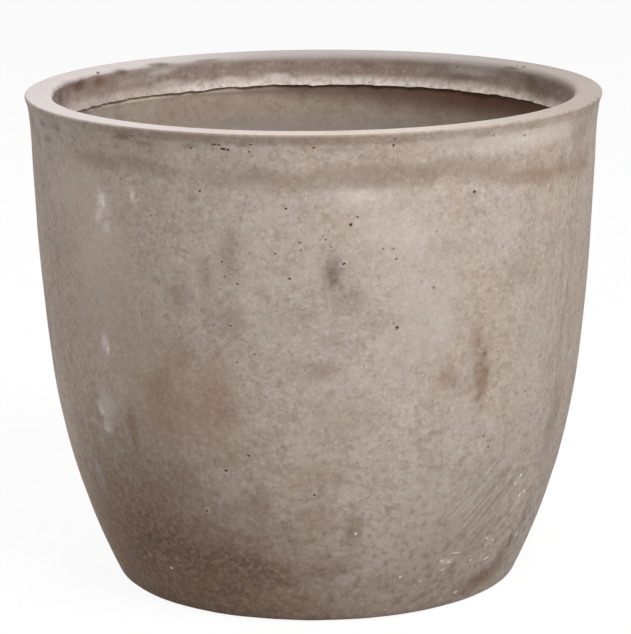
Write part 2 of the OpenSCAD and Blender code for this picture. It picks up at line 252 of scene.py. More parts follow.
# Bright nicks where the skin broke and pale sand shows: degrees, height, half width and half
# height in millimetres, tilt in degrees.
NICKS = (
    (48.4, 37.5, 4.0, 1.4, 15), (35.9, 51.5, 6.0, 0.8, -3), (41.9, 40.8, 1.6, 1.4, 0),
    (21.1, 37.7, 1.8, 1.5, 0), (54.6, 88.2, 2.2, 2.0, 0), (60.5, 48.6, 2.4, 2.2, 0),
    (40.4, 12.3, 2.4, 1.4, 20), (8.8, 80.8, 1.5, 1.6, 0), (-39.7, 37.3, 2.0, 1.3, 0),
    (46.0, 52.0, 1.2, 1.0, 0), (33.0, 38.0, 1.8, 0.8, 10), (53.0, 107.0, 2.2, 1.6, 0),
    (51.2, 101.0, 1.8, 1.4, 0), (56.4, 90.0, 2.0, 1.8, 0), (32.2, 46.5, 2.4, 1.4, 0),
    (34.6, 44.0, 2.6, 1.2, 0), (45.6, 58.0, 2.4, 1.0, -30), (48.4, 54.0, 2.0, 1.0, -30),
    (27.0, 31.0, 1.4, 0.8, 0),
    (104.0, 140.0, 2.6, 1.2, 20), (-98.0, 60.0, 2.2, 1.6, 0), (-144.0, 92.0, 3.4, 1.0, 8),
    (172.0, 66.0, 2.0, 1.6, 0), (138.0, 233.0, 1.8, 1.2, 0), (-115.0, 305.0, 1.6, 1.4, 0),
)

# Patches where the fresh skin was brushed: degrees, height, half width and half height in
# millimetres, tilt of the strokes in degrees, and their strength.
BRUSHED = (
    (62.0, 240.0, 44, 130, 0, 0.55), (42.0, 88.0, 62, 66, -45, 0.75), (3.0, 62.0, 46, 20, 88, 0.40),
    (-66.0, 250.0, 38, 130, 0, 0.42), (-45.0, 140.0, 30, 40, 20, 0.35),
    (128.0, 180.0, 90, 150, 4, 0.30), (-136.0, 200.0, 100, 150, -6, 0.30),
)

# Stains on the collar and on the rounding of the lip, placed like the marks on the wall.
COLLAR_MARKS = (
    (180.0, 386.5, 80, 6, 0, "85705F", 0.45, 0.8), (120.0, 386.5, 60, 7, 0, "7D6A5D", 0.50, 0.9),
    (-120.0, 385.0, 50, 7, 0, "88766A", 0.50, 0.9), (60.0, 386.0, 40, 8, 0, "6E5B4D", 0.45, 0.9),
    (-104.0, 395.5, 76, 4.6, 0, "76665C", 0.70, 0.8),
    (-100.0, 388.0, 14, 10, 0, "66554B", 0.85, 0.9), (-112.0, 391.5, 20, 7, 8, "654A37", 0.90, 0.8),
    (-121.0, 390.5, 16, 6, 0, "745039", 0.80, 0.85), (-129.0, 395.5, 14, 4, 8, "6F5A4C", 0.80, 0.8),
    (-141.0, 397.0, 18, 2.6, 4, "625853", 0.85, 0.7), (-154.0, 396.4, 18, 2.2, 0, "75675E", 0.70, 0.7),
    (119.0, 387.0, 15, 9, 0, "694F3A", 0.85, 0.95), (125.0, 380.0, 14, 5, 0, "7E6A5B", 0.60, 0.9),
    (108.0, 391.0, 16, 6, 0, "73645A", 0.60, 0.9), (148.0, 383.5, 40, 4, 0, "7F7068", 0.50, 0.9),
    (-132.0, 384.0, 20, 6, 10, "A79A91", 0.60, 0.9), (-143.0, 380.0, 22, 4, 0, "BDB2AA", 0.80, 0.9),
    (-160.0, 378.5, 16, 4.5, 0, "C9BFB8", 0.80, 0.8), (-171.0, 379.5, 16, 5.0, 0, "D2C9C2", 0.85, 0.8),
    (139.0, 392.0, 38, 6.8, 0, "B0A7A3", 0.95, 0.6), (140.0, 383.5, 34, 4.0, 0, "6A564A", 0.60, 0.9),
    (127.0, 396.6, 16, 1.8, 0, "5C4C43", 0.75, 0.8), (115.0, 380.0, 32, 13, 0, "66503F", 0.75, 0.95),
    (-134.0, 381.5, 40, 5.0, 0, "7A6B61", 0.55, 1.0),
    (-142.0, 391.0, 22, 4.0, 0, "C0B6B1", 0.90, 0.7), (170.0, 383.0, 26, 3.0, 0, "7E6B5E", 0.50, 0.9),
    (-20.0, 384.0, 50, 9, 0, "74614F", 0.40, 0.9),
)

# Unevenness of colour, from large to fine: size in millimetres, detail and roughness of the
# noise, its values where the colour starts and where it is full, the colour and its strength.
# SPLASH_MOTTLE lies only on the lower wall, where rain splashes soil up.
WALL_MOTTLE = (
    (150, 3, 0.50, 0.42, 0.66, "BAB0AB", 0.50),
    (62, 4, 0.60, 0.56, 0.26, "8C7B6C", 0.42),
    (27, 3, 0.55, 0.42, 0.76, "BDB2AD", 0.42),
    (12, 4, 0.55, 0.54, 0.18, "87776A", 0.46),
    (6.5, 3, 0.55, 0.44, 0.80, "C9BFB8", 0.50),
    (5.0, 2, 0.55, 0.52, 0.20, "7E7167", 0.48),
    (3.3, 2, 0.50, 0.48, 0.80, "D2C9C1", 0.34),
    (2.6, 1, 0.50, 0.50, 0.22, "7E7268", 0.26),
    (3.6, 1, 0.50, 0.64, 0.80, "DAD1C8", 0.32),
)
SPLASH_MOTTLE = (
    (6.5, 1, 0.50, 0.50, 0.26, "6A5546", 0.38),
    (4.6, 1, 0.50, 0.54, 0.78, "C2B3A6", 0.20),
)
COLLAR_MOTTLE = (
    (34, 4, 0.60, 0.44, 0.66, "AC9D92", 0.55),
    (13, 4, 0.60, 0.54, 0.26, "6F5D50", 0.50),
    (5, 3, 0.60, 0.48, 0.76, "BDB0A6", 0.50),
    (2.6, 2, 0.50, 0.50, 0.24, "6B5D52", 0.38),
)
LIP_MOTTLE = (
    (46, 4, 0.60, 0.54, 0.28, "A59A94", 0.40),
    (14, 4, 0.60, 0.54, 0.26, "9B8F87", 0.36),
    (5, 3, 0.60, 0.48, 0.76, "CDC6C1", 0.40),
    (2.6, 2, 0.50, 0.50, 0.24, "8F837B", 0.26),
)
INNER_MOTTLE = (
    (90, 4, 0.55, 0.44, 0.66, "A4988F", 0.50),
    (24, 4, 0.55, 0.54, 0.22, "7D6C5D", 0.50),
    (9, 3, 0.55, 0.44, 0.76, "B0A59D", 0.42),
    (4.6, 2, 0.50, 0.52, 0.22, "74655A", 0.34),
    (2.8, 2, 0.50, 0.48, 0.80, "AEA49C", 0.24),
)
UNDER_MOTTLE = (
    (60, 4, 0.60, 0.44, 0.66, "A89D93", 0.55),
    (16, 5, 0.65, 0.50, 0.32, "7D6F64", 0.50),
    (4, 4, 0.70, 0.52, 0.70, "BBB0A6", 0.40),
)

# The lip is greyer at the back and the right and paler at the left: the axis, its values in
# metres where the colour starts and is full, the strength and the colour.
LIP_SHADES = (
    ("Y", -0.02, 0.19, 0.75, "9E9A9A"),
    ("X", 0.05, 0.22, 0.80, "968C87"),
    ("X", -0.02, -0.16, 0.85, "C4BDBD"),
)

# Bands of height that colours keep to, in millimetres: where a band starts, is full, begins to
# fade and ends. One that ends above the lip goes on to the top.
BANDS = {
    "splash": (-2.0, -1.0, 20.0, 210.0),
    "bead_shade": (389.0, 395.0, 402.0, 403.0),
    "lip_edge": (399.0, 399.7, 401.0, 402.0),
    "under_ledge": (366.6, 368.6, 410.0, 411.0),
    "torn_edge": (360.0, 361.0, 373.5, 382.5),
    "collar_top": (391.0, 395.2, 410.0, 411.0),
    "lip_round": (395.4, 397.2, 410.0, 411.0),
}
# Half width and half height of a stroke of the brush, in millimetres.
STROKE = (1.6, 34)
# Height from which the painted shadow under the ledge is measured, in metres.
LEDGE_SHADOW_TOP = 0.3725
# Sand in the skin, in metres: the grains that break up the stains and those along the ledge.
# Real sand is about 1 mm, too fine to show, so it is drawn coarser.
SAND, LEDGE_SAND = 0.0040, 0.0042
# Relief of the skin: size of its grit, its lumps and its sand, each with its height, in metres.
# The grit and the sand are drawn coarser than they are, too.
RELIEF = ((0.0013, 0.00003), (0.006, 0.00040), (0.0026, 0.00010))

# The studio, in metres: half the floor's side, the floor's height, just under the pot so that
# the two faces don't flicker, the height at which the lamps aim, and their distance and diameter.
FLOOR_HALF, FLOOR_HEIGHT = 6.0, -0.0002
AIM = Vector((0, 0, 0.2))
LAMP_DISTANCE, LAMP_SIZE = 2.4, 0.8
# Lamps: name, degrees round from the front (+ to the right), elevation in degrees, watts, colour.
LAMPS = (
    ("key_softbox", 20, 50, 35, "FFFCFA"),
    ("right_softbox", 50, 50, 19, "FFFCFA"),
    ("back_softbox", 180, 50, 10, "FFFFFF"),
    ("left_rim_softbox", -120, 20, 12, "FDF6F2"),
)


def linear(code):
    """An sRGB hex colour as the linear values, with an alpha of 1, that the nodes work in."""
    parts = [int(code[i:i + 2], 16)/255 for i in (0, 2, 4)]
    return [c/12.92 if c <= 0.04045 else ((c + 0.055)/1.055)**2.4 for c in parts] + [1.0]


def add(tree, kind, inputs=None, **settings):
    """Adds a node, sets its settings, and sets or links its inputs by name or number."""
    node = tree.nodes.new(kind)
    for name, value in settings.items():
        setattr(node, name, value)
    for key, value in (inputs or {}).items():
        if isinstance(value, bpy.types.NodeSocket):
            tree.links.new(value, node.inputs[key])
        else:
            node.inputs[key].default_value = value
    return node


class PotSizes(bpy.types.PropertyGroup):
    """Sizes of the casting: the solid model's, with a worn bead and a wall that swells under
    the ledge."""
    rim_diameter: bpy.props.FloatProperty(
        name="Rim diameter", description="Diameter over the bead of the rim",
        default=0.468, unit="LENGTH")
    height: bpy.props.FloatProperty(
        name="Height", description="Overall height",
        default=SHELL_HIGH[2] - SHELL_LOW[2], unit="LENGTH")
    base_diameter: bpy.props.FloatProperty(
        name="Base diameter", description="Diameter at the ground, before the corner is rounded",
        default=0.329, unit="LENGTH")
    base_round: bpy.props.FloatProperty(
        name="Base rounding", description="Rounding of the corner at the ground",
        default=0.006, unit="LENGTH")
    shoulder_height: bpy.props.FloatProperty(
        name="Shoulder height", description="Height at which the bowl runs into the upper wall",
        default=0.180, unit="LENGTH")
    shoulder_in: bpy.props.FloatProperty(
        name="Shoulder inset", description="Distance of the shoulder inside the rim's outline",
        default=0.0168, unit="LENGTH")
    wall_curve: bpy.props.FloatProperty(
        name="Wall curve", description="Radius of the upper wall's curve, seen from the side",
        default=2.035, unit="LENGTH")
    flare_height: bpy.props.FloatProperty(
        name="Flare height", description="Height of the band that flares out to the rim",
        default=0.036, unit="LENGTH")
    flare_out: bpy.props.FloatProperty(
        name="Flare", description="Distance that the flare moves outwards",
        default=0.0036, unit="LENGTH")
    bead: bpy.props.FloatProperty(
        name="Bead radius", description="Radius of the bead along the lip's outer edge",
        default=0.002, unit="LENGTH")
    bead_proud: bpy.props.FloatProperty(
        name="Bead proud", description="Distance that the bead stands proud of the flare",
        default=0.0008, unit="LENGTH")
    bead_fade: bpy.props.FloatProperty(
        name="Bead fade", description="Height over which the worn bead runs out into the flare",
        default=0.0050, unit="LENGTH")
    lip_width: bpy.props.FloatProperty(
        name="Lip width", description="Width of the flat lip",
        default=0.0225, unit="LENGTH")
    lip_round: bpy.props.FloatProperty(
        name="Lip rounding", description="Rounding of the lip's inner edge",
        default=0.005, unit="LENGTH")
    collar_height: bpy.props.FloatProperty(
        name="Collar height", description="Height of the thick collar below the lip",
        default=0.028, unit="LENGTH")
    collar_in: bpy.props.FloatProperty(
        name="Collar inset", description="Distance that the collar's lower edge stands in",
        default=0.002, unit="LENGTH")
    collar_dish: bpy.props.FloatProperty(
        name="Collar dish", description="Depth of the hollow in the collar's face",
        default=0.0014, unit="LENGTH")
    undercut: bpy.props.FloatProperty(
        name="Undercut rounding", description="Rounding between the ledge and the wall",
        default=0.002, unit="LENGTH")
    swell: bpy.props.FloatProperty(
        name="Wall swell", description="How far the inner wall swells inwards under the ledge",
        default=0.0027, unit="LENGTH")
    swell_height: bpy.props.FloatProperty(
        name="Swell height", description="Height over which the swell fades out",
        default=0.045, unit="LENGTH")
    wall: bpy.props.FloatProperty(
        name="Wall", description="Thickness of the wall below the collar",
        default=0.015, unit="LENGTH")
    floor_top: bpy.props.FloatProperty(
        name="Floor", description="Height of the floor's top at the drain",
        default=0.022, unit="LENGTH")
    floor_fall: bpy.props.FloatProperty(
        name="Floor fall", description="Slope of the floor down to the drain",
        default=math.radians(1.5), subtype="ANGLE")
    floor_round: bpy.props.FloatProperty(
        name="Floor rounding", description="Rounding between floor and wall",
        default=0.040, unit="LENGTH")
    foot_width: bpy.props.FloatProperty(
        name="Foot width", description="Width of the ring that the pot stands on",
        default=0.044, unit="LENGTH")
    foot_hollow: bpy.props.FloatProperty(
        name="Foot hollow", description="Depth of the hollow inside the foot ring",
        default=0.006, unit="LENGTH")
    hollow_round: bpy.props.FloatProperty(
        name="Hollow rounding", description="Rounding of the hollow's upper corner",
        default=0.004, unit="LENGTH")
    sleeve_diameter: bpy.props.FloatProperty(
        name="Sleeve diameter", description="Outside diameter of the drain sleeve",
        default=0.032, unit="LENGTH")
    seat_width: bpy.props.FloatProperty(
        name="Seat width", description="Width of the flat ring of floor round the sleeve",
        default=0.008, unit="LENGTH")
    sides: bpy.props.IntProperty(
        name="Sides", description="Number of faces round the pot", default=360, min=24)


class ConcreteLook(bpy.types.PropertyGroup):
    """Colours and unevenness of the casting."""
    skin: bpy.props.FloatVectorProperty(
        name="Skin", description="Middle colour of the cement skin on the wall",
        default=linear("AFA195")[:3], subtype="COLOR")
    inside: bpy.props.FloatVectorProperty(
        name="Inside", description="Middle colour of the smooth inner wall",
        default=linear("A29386")[:3], subtype="COLOR")
    collar: bpy.props.FloatVectorProperty(
        name="Collar", description="Middle colour of the collar",
        default=linear("92827A")[:3], subtype="COLOR")
    lip: bpy.props.FloatVectorProperty(
        name="Lip", description="Colour of the trowelled lip",
        default=linear("BDB2AA")[:3], subtype="COLOR")
    under: bpy.props.FloatVectorProperty(
        name="Underside", description="Colour of the struck-off underside",
        default=linear("93877D")[:3], subtype="COLOR")
    pit: bpy.props.FloatVectorProperty(
        name="Air holes", description="Colour of the dirt in the air holes",
        default=linear("6E6258")[:3], subtype="COLOR")
    wave: bpy.props.FloatProperty(
        name="Waviness", description="Depth of the mould's gentle waves",
        default=0.0024, unit="LENGTH")
    ragged: bpy.props.FloatProperty(
        name="Raggedness", description="How far the collar's torn lower edge wanders",
        default=0.0060, unit="LENGTH")
    pit_density: bpy.props.FloatProperty(
        name="Air hole density", description="Small air holes on each square metre",
        default=260.0)
    seed: bpy.props.IntProperty(
        name="Seed", description="Seed of the scattered air holes", default=7)


class StopperLook(bpy.types.PropertyGroup):
    """Sizes and colours of the drain's two pieces."""
    voxel: bpy.props.FloatProperty(
        name="Moulding detail", description="Size of the steps that soften the stopper's corners",
        default=0.0005, unit="LENGTH")
    rubber: bpy.props.FloatVectorProperty(
        name="Rubber", description="Colour of the stopper",
        default=linear("2B2A29")[:3], subtype="COLOR")
    pipe: bpy.props.FloatVectorProperty(
        name="Pipe", description="Colour of the sleeve",
        default=linear("6D6A66")[:3], subtype="COLOR")


class StudioSetup(bpy.types.PropertyGroup):
    """The plain studio: camera, lamps and floor."""
    distance: bpy.props.FloatProperty(
        name="Camera distance", description="Level distance from the pot's axis",
        default=2.457, unit="LENGTH")
    eye_height: bpy.props.FloatProperty(
        name="Camera height", description="Height above the floor",
        default=0.7648, unit="LENGTH")
    aside: bpy.props.FloatProperty(
        name="Camera aside", description="Distance to the right of the pot's axis",
        default=0.0003, unit="LENGTH")
    pitch: bpy.props.FloatProperty(
        name="Camera pitch", description="How far the camera looks down",
        default=0.2224, subtype="ANGLE")
    roll: bpy.props.FloatProperty(
        name="Camera roll", description="How far the picture leans, right side up",
        default=0.0080, subtype="ANGLE")
    lens: bpy.props.FloatProperty(
        name="Lens", description="Focal length on a 36 mm sensor, in millimetres",
        default=173.11)
    floor: bpy.props.FloatVectorProperty(
        name="Floor", description="Colour of the pale floor",
        default=linear("C4C2C0")[:3], subtype="COLOR")


def dot(a, b):
    """Dot product of two points of the section, each radius + height*1j."""
    return (a*b.conjugate()).real


def centre_through(p, q, r):
    """Centre of the arc of radius r through p and q, on the side of the pot's axis."""
    d = q - p
    return (p + q)/2 + math.sqrt(r*r - abs(d)**2/4)*1j*d/abs(d)


def centre_tangent(p, c, q):
    """Centre of the arc through p and q that leaves p in line with the arc about c."""
    n = (c - p)/abs(c - p)
    return p + n*abs(q - p)**2/(2*dot(q - p, n))


def centre_in_corner(c, r, p, slope, f):
    """Centre of a circle of radius f inside the circle (c, r), on a line through p."""
    u = cmath.rect(1, slope)
    w = p + f*1j*u - c
    k = dot(w, u)
    return w + c + u*(math.sqrt(k*k - abs(w)**2 + (r - f)**2) - k)


def centre_bowed(p, q, s):
    """Centre of the shallow arc from p to q that bows away from the pot's axis by s."""
    d = q - p
    return (p + q)/2 - ((abs(d)**2/4 + s*s)/(2*s) - s)*1j*d/abs(d)


def eased(t):
    """0 up to 0, 1 from 1 on, with a soft rise between."""
    t = min(max(t, 0.0), 1.0)
    return t*t*(3 - 2*t)


def on_circle(c, r, p):
    """Point of the circle (c, r) that faces p."""
    return c + r*(p - c)/abs(p - c)


def arc(c, p, q, step):
    """Points about c from p, turning the short way to face q, no further apart than step."""
    start = cmath.phase(p - c)
    turn = (cmath.phase(q - c) - start + 3*math.pi) % (2*math.pi) - math.pi
    n = max(1, math.ceil(abs(turn)*abs(p - c)/step))
    return [c + cmath.rect(abs(p - c), start + turn*i/n) for i in range(n + 1)]


def line(p, q, step):
    """Points from p to q, no further apart than step."""
    n = max(1, math.ceil(abs(q - p)/step))
    return [p + (q - p)*i/n for i in range(n + 1)]


def pot_section(s):
    """The casting's closed outline as (zone, points) runs: under the foot, up the outside, over
    the lip, down the inside and back through the drain. The last number that arc and line get
    is the largest step of the mesh there, in metres."""
    rim = s.rim_diameter/2
    top = s.height
    flare_top = complex(rim - s.bead_proud, top - s.bead)
    neck = complex(flare_top.real - s.flare_out, top - s.flare_height)
    shoulder = complex(rim - s.shoulder_in, s.shoulder_height)
    corner = complex(s.base_diameter/2, 0)
    wall_c = centre_through(shoulder, neck, s.wall_curve)
    bowl_c = centre_tangent(shoulder, wall_c, corner)
    flare_c = centre_tangent(neck, wall_c, flare_top)
    bowl_r = abs(shoulder - bowl_c)
    bowl_in = bowl_r - s.wall
    foot_c = centre_in_corner(bowl_c, bowl_r, 0j, 0, s.base_round)
    foot_top = on_circle(bowl_c, bowl_r, foot_c)

    hole = s.sleeve_diameter/2
    hollow = corner.real - s.foot_width
    hollow_c = complex(hollow - s.hollow_round, s.foot_hollow - s.hollow_round)
    under = line(complex(hole, s.foot_hollow), hollow_c + s.hollow_round*1j, 0.012)
    under += arc(hollow_c, hollow_c + s.hollow_round*1j, hollow_c + s.hollow_round, 0.002)
    under += line(complex(hollow, 0), complex(foot_c.real, 0), 0.008)

    outside = arc(foot_c, complex(foot_c.real, 0), foot_top, 0.0016)
    outside += arc(bowl_c, foot_top, shoulder, 0.0042)[1:]
    outside += arc(wall_c, shoulder, neck, 0.0044)[1:]
    flare = arc(flare_c, neck, flare_top, 0.0015)[1:]
    bead_c = complex(rim - s.bead, top - s.bead)
    outside += [p for p in flare if p.imag < bead_c.imag - s.bead_fade]

    lip_c = complex(rim - s.lip_width + s.lip_round, top - s.lip_round)
    collar_top = lip_c - s.lip_round
    ledge = complex(rim - s.lip_width - s.collar_in, top - s.collar_height)
    bead = arc(bead_c, bead_c + cmath.rect(s.bead, math.radians(-12)), bead_c + s.bead*1j, 0.0006)
    lip = line(bead_c + s.bead*1j, lip_c + s.lip_round*1j, 0.0026)[1:]
    lip += arc(lip_c, lip_c + s.lip_round*1j, collar_top, 0.0014)[1:]
    collar = arc(centre_bowed(collar_top, ledge, s.collar_dish), collar_top, ledge, 0.0016)[1:]

    undercut_z = ledge.imag - s.undercut
    inner_r = s.wall_curve - s.wall
    undercut = complex(
        wall_c.real + math.sqrt(inner_r**2 - (undercut_z - wall_c.imag)**2), undercut_z)
    undercut_c = undercut - s.undercut
    upper = arc(undercut_c, undercut_c + s.undercut*1j, undercut, 0.001)
    upper += arc(wall_c, undercut, on_circle(wall_c, inner_r, shoulder), 0.0075)[1:]
    fade_out = undercut_z - s.swell_height
    upper = [p - s.swell*eased((p.imag - fade_out)/s.swell_height) for p in upper]
    inside = line(ledge, upper[0], 0.001)[1:] + upper[1:]
    seat = complex(hole + s.seat_width, s.floor_top)
    floor_c = centre_in_corner(bowl_c, bowl_in, seat, s.floor_fall, s.floor_round)
    floor_end = floor_c - cmath.rect(s.floor_round, s.floor_fall + math.pi/2)
    cove = on_circle(bowl_c, bowl_in, floor_c)
    inside += arc(bowl_c, on_circle(bowl_c, bowl_in, shoulder), cove, 0.008)[1:]
    inside += arc(floor_c, cove, floor_end, 0.005)[1:]
    inside += line(floor_end, seat, 0.010)[1:] + line(seat, complex(hole, s.floor_top), 0.004)[1:]
    return (("under", under), ("outside", outside[1:]), ("bead", bead), ("lip", lip),
            ("collar", collar), ("inside", inside))


# How strongly each zone of the outline takes part: waves of the mould, ragged tearing, stray
# air holes, and the masks that the colours read.
TRAITS = ("wave", "ragged", "holes", "wall", "mouth", "lip", "collar", "inside", "under")
ZONES = {
    "under": (0.0, 0.0, 0.6, 0.0, 0.0, 0.0, 0.0, 0.0, 1.0),
    "outside": (1.0, 0.0, 1.0, 1.0, 0.0, 0.0, 0.0, 0.0, 0.0),
    "bead": (0.3, 0.02, 0.0, 1.0, 0.0, 0.0, 0.0, 0.0, 0.0),
    "lip": (0.3, 0.05, 0.3, 0.0, 1.0, 1.0, 0.0, 0.0, 0.0),
    "collar": (0.6, 0.3, 0.8, 0.0, 1.0, 0.0, 1.0, 0.0, 0.0),
    "inside": (1.0, 0.0, 0.0, 0.0, 0.0, 0.0, 0.0, 1.0, 0.0),
}


def table_mesh(name, places, columns):
    """A vertex for each row of a table, with its columns as attributes, 3 long or single."""
    mesh = bpy.data.meshes.new(name)
    mesh.from_pydata(places, [], [])
    for column, values in columns.items():
        triple = len(values) == 3*len(places)
        mesh.attributes.new(column, "FLOAT_VECTOR" if triple else "FLOAT", "POINT").data.foreach_set(
            "vector" if triple else "value", values)
    return mesh


def section_mesh(sizes):
    """The outline as a closed loop of edges in the XZ plane, with each zone's traits on it."""
    points, traits = [], []
    for zone, run in pot_section(sizes):
        points += run
        traits += [dict(zip(TRAITS, ZONES[zone])) for _ in run]
    ledge = max(i for i, t in enumerate(traits) if t["collar"] == 1)
    for i in range(ledge - TEAR_ROWS, ledge + TEAR_ROWS + 1):
        near = 1 - abs(i - ledge)/(TEAR_ROWS + 1)
        traits[i]["ragged"] = max(traits[i]["ragged"], near)
    calm = sizes.height - sizes.flare_height
    for point, trait in zip(points, traits):
        if trait["wall"] == 1 and point.imag > calm:
            trait["wave"] *= FLARE_WAVES
    keep = [i for i, p in enumerate(points) if abs(p - points[i - 1]) > 1e-6]
    mesh = bpy.data.meshes.new("pot_section")
    n = len(keep)
    mesh.from_pydata([(points[i].real, 0, points[i].imag) for i in keep],
                     [(k, (k + 1) % n) for k in range(n)], [])
    for name in TRAITS:
        mesh.attributes.new(name, "FLOAT", "POINT").data.foreach_set(
            "value", [traits[i][name] for i in keep])
    return mesh


def marks_mesh(sizes):
    """One vertex for each air hole and chip that has its own place, with its size and turn."""
    outline = [p for zone, run in pot_section(sizes) if zone == "outside" for p in run]
    places, spans, spins, holes = [], [], [], []
    for turn, height, *shape in WALL_PITS:
        z = height*MM
        above = next(i for i, p in enumerate(outline) if p.imag >= z or p == outline[-1])
        p, q = outline[above - 1], outline[above]
        r = p.real + (q.real - p.real)*(z - p.imag)/(q.imag - p.imag)
        holes.append((turn, r/MM, height, *shape))
    for turn, r, height, half_width, half_height, depth, tilt in holes + list(CHIPS):
        angle = math.radians(turn)
        places.append((r*MM*math.sin(angle), -r*MM*math.cos(angle), height*MM))
        spans += (half_width*MM, half_height*MM, depth*MM)
        spins += (0.0, 0.0, angle + math.radians(tilt))
    return table_mesh("pit_marks", places, {"span": spans, "spin": spins})


def on_wall(turn, height, half_width, half_height, tilt):
    """Location, rotation and half sizes of the ellipsoid that makes a mark on the wall."""
    angle = math.radians(turn)
    return {"Location": (MARK_RADIUS*math.sin(angle), -MARK_RADIUS*math.cos(angle), height*MM),
            "Rotation": (0.0, -math.radians(tilt), angle),
            "Scale": (half_width*MM, MARK_DEPTH, half_height*MM)}


def stains_and_shade_mesh(name, rows):
    """One vertex for each mark, stains and patches of painted shade alike, with its size, turn,
    colour, strength and fade.
    """
    marks = [on_wall(*row[:5]) for row in rows]
    return table_mesh(name, [mark["Location"] for mark in marks], {
        "span": [c for mark in marks for c in mark["Scale"]],
        "spin": [c for mark in marks for c in mark["Rotation"]],
        "tint": [c for row in rows for c in linear(row[5])[:3]],
        "strength": [row[6] for row in rows],
        "fade": [row[7] for row in rows]})


def revolved(tree, given):
    """Bends a grid with one row for each point of the section round the axis, and stores the
    section's traits on it."""
    count = add(tree, "GeometryNodeAttributeDomainSize", {0: given["Section"]},
                component="MESH").outputs["Point Count"]
    rows = add(tree, "FunctionNodeIntegerMath", {0: count, 1: 1}, operation="ADD").outputs[0]
    columns = add(tree, "FunctionNodeIntegerMath", {0: given["Sides"], 1: 1},
                  operation="ADD").outputs[0]
    grid = add(tree, "GeometryNodeMeshGrid", {"Vertices X": rows, "Vertices Y": columns})
    index = add(tree, "GeometryNodeInputIndex").outputs[0]
    row = add(tree, "FunctionNodeIntegerMath", {0: index, 1: columns}, operation="DIVIDE").outputs[0]
    row = add(tree, "FunctionNodeIntegerMath", {0: row, 1: count}, operation="MODULO").outputs[0]
    column = add(tree, "FunctionNodeIntegerMath", {0: index, 1: columns},
                 operation="MODULO").outputs[0]
    share = add(tree, "ShaderNodeMath", {0: column, 1: given["Sides"]}, operation="DIVIDE")
    turn = add(tree, "ShaderNodeMath", {0: share.outputs[0], 1: math.tau}, operation="MULTIPLY")
    place = add(tree, "GeometryNodeInputPosition").outputs[0]
    point = add(tree, "GeometryNodeSampleIndex", {"Geometry": given["Section"], "Value": place,
                "Index": row}, data_type="FLOAT_VECTOR", domain="POINT")
    bent = add(tree, "ShaderNodeVectorRotate", {"Vector": point.outputs["Value"],
               "Angle": turn.outputs[0]}, rotation_type="Z_AXIS").outputs[0]
    shape = add(tree, "GeometryNodeSetPosition", {"Geometry": grid.outputs["Mesh"],
                "Position": bent}).outputs[0]
    for name in TRAITS:
        value = add(tree, "GeometryNodeInputNamedAttribute", {"Name": name}, data_type="FLOAT")
        taken = add(tree, "GeometryNodeSampleIndex", {"Geometry": given["Section"],
                    "Value": value.outputs[0], "Index": row}, data_type="FLOAT", domain="POINT")
        shape = add(tree, "GeometryNodeStoreNamedAttribute", {"Geometry": shape, "Name": name,
                    "Value": taken.outputs[0]}, data_type="FLOAT", domain="POINT").outputs[0]
    shape = add(tree, "GeometryNodeMergeByDistance", {"Geometry": shape,
                "Distance": 1e-6}).outputs[0]
    return add(tree, "GeometryNodeFlipFaces", {"Mesh": shape}).outputs[0]


def waved(tree, given, shape):
    """Sinks the skin in gentle waves, only ever into the concrete."""
    place = add(tree, "GeometryNodeInputPosition").outputs[0]
    normal = add(tree, "GeometryNodeInputNormal").outputs[0]
    sunk = 0.0
    for size, part in WAVES:
        noise = add(tree, "ShaderNodeTexNoise", {"Vector": place, "Scale": 1/size, "Detail": 2.0})
        depth = add(tree, "ShaderNodeMath", {0: noise.outputs["Fac"], 1: WAVE_LEVEL},
                    operation="SUBTRACT").outputs[0]
        depth = add(tree, "ShaderNodeMath", {0: depth, 1: 0.0}, operation="MINIMUM").outputs[0]
        sunk = add(tree, "ShaderNodeMath", {0: depth, 1: part, 2: sunk},
                   operation="MULTIPLY_ADD").outputs[0]
    share = add(tree, "GeometryNodeInputNamedAttribute", {"Name": "wave"},
                data_type="FLOAT").outputs[0]
    reach = add(tree, "ShaderNodeMath", {0: share, 1: given["Wave Depth"]},
                operation="MULTIPLY").outputs[0]
    sunk = add(tree, "ShaderNodeMath", {0: sunk, 1: reach}, operation="MULTIPLY").outputs[0]
    push = add(tree, "ShaderNodeVectorMath", {0: normal, "Scale": sunk},
               operation="SCALE").outputs[0]
    return add(tree, "GeometryNodeSetPosition", {"Geometry": shape, "Offset": push}).outputs[0]


def wandering(tree, place, size, detail):
    """A vector that wanders between about -0.5 and 0.5 with a noise of the given size."""
    noise = add(tree, "ShaderNodeTexNoise", {"Vector": place, "Scale": 1/size, "Detail": detail,
                "Roughness": 0.65}).outputs["Color"]
    return add(tree, "ShaderNodeVectorMath", {0: noise, 1: (0.5, 0.5, 0.5)},
               operation="SUBTRACT").outputs[0]


def shaken(tree, shape, size, reach, detail):
    """Carries the points to and fro by a noise of the given size, up to about half the reach."""
    place = add(tree, "GeometryNodeInputPosition").outputs[0]
    wander = wandering(tree, place, size, detail)
    push = add(tree, "ShaderNodeVectorMath", {0: wander, "Scale": reach},
               operation="SCALE").outputs[0]
    return add(tree, "GeometryNodeSetPosition", {"Geometry": shape, "Offset": push}).outputs[0]


def torn(tree, given, shape):
    """Tears the edges: the noise carries the points of the ragged zones to and fro."""
    share = add(tree, "GeometryNodeInputNamedAttribute", {"Name": "ragged"},
                data_type="FLOAT").outputs[0]
    reach = add(tree, "ShaderNodeMath", {0: share, 1: given["Ragged Depth"]},
                operation="MULTIPLY").outputs[0]
    return shaken(tree, shape, TEAR_SIZE, reach, 4.0)


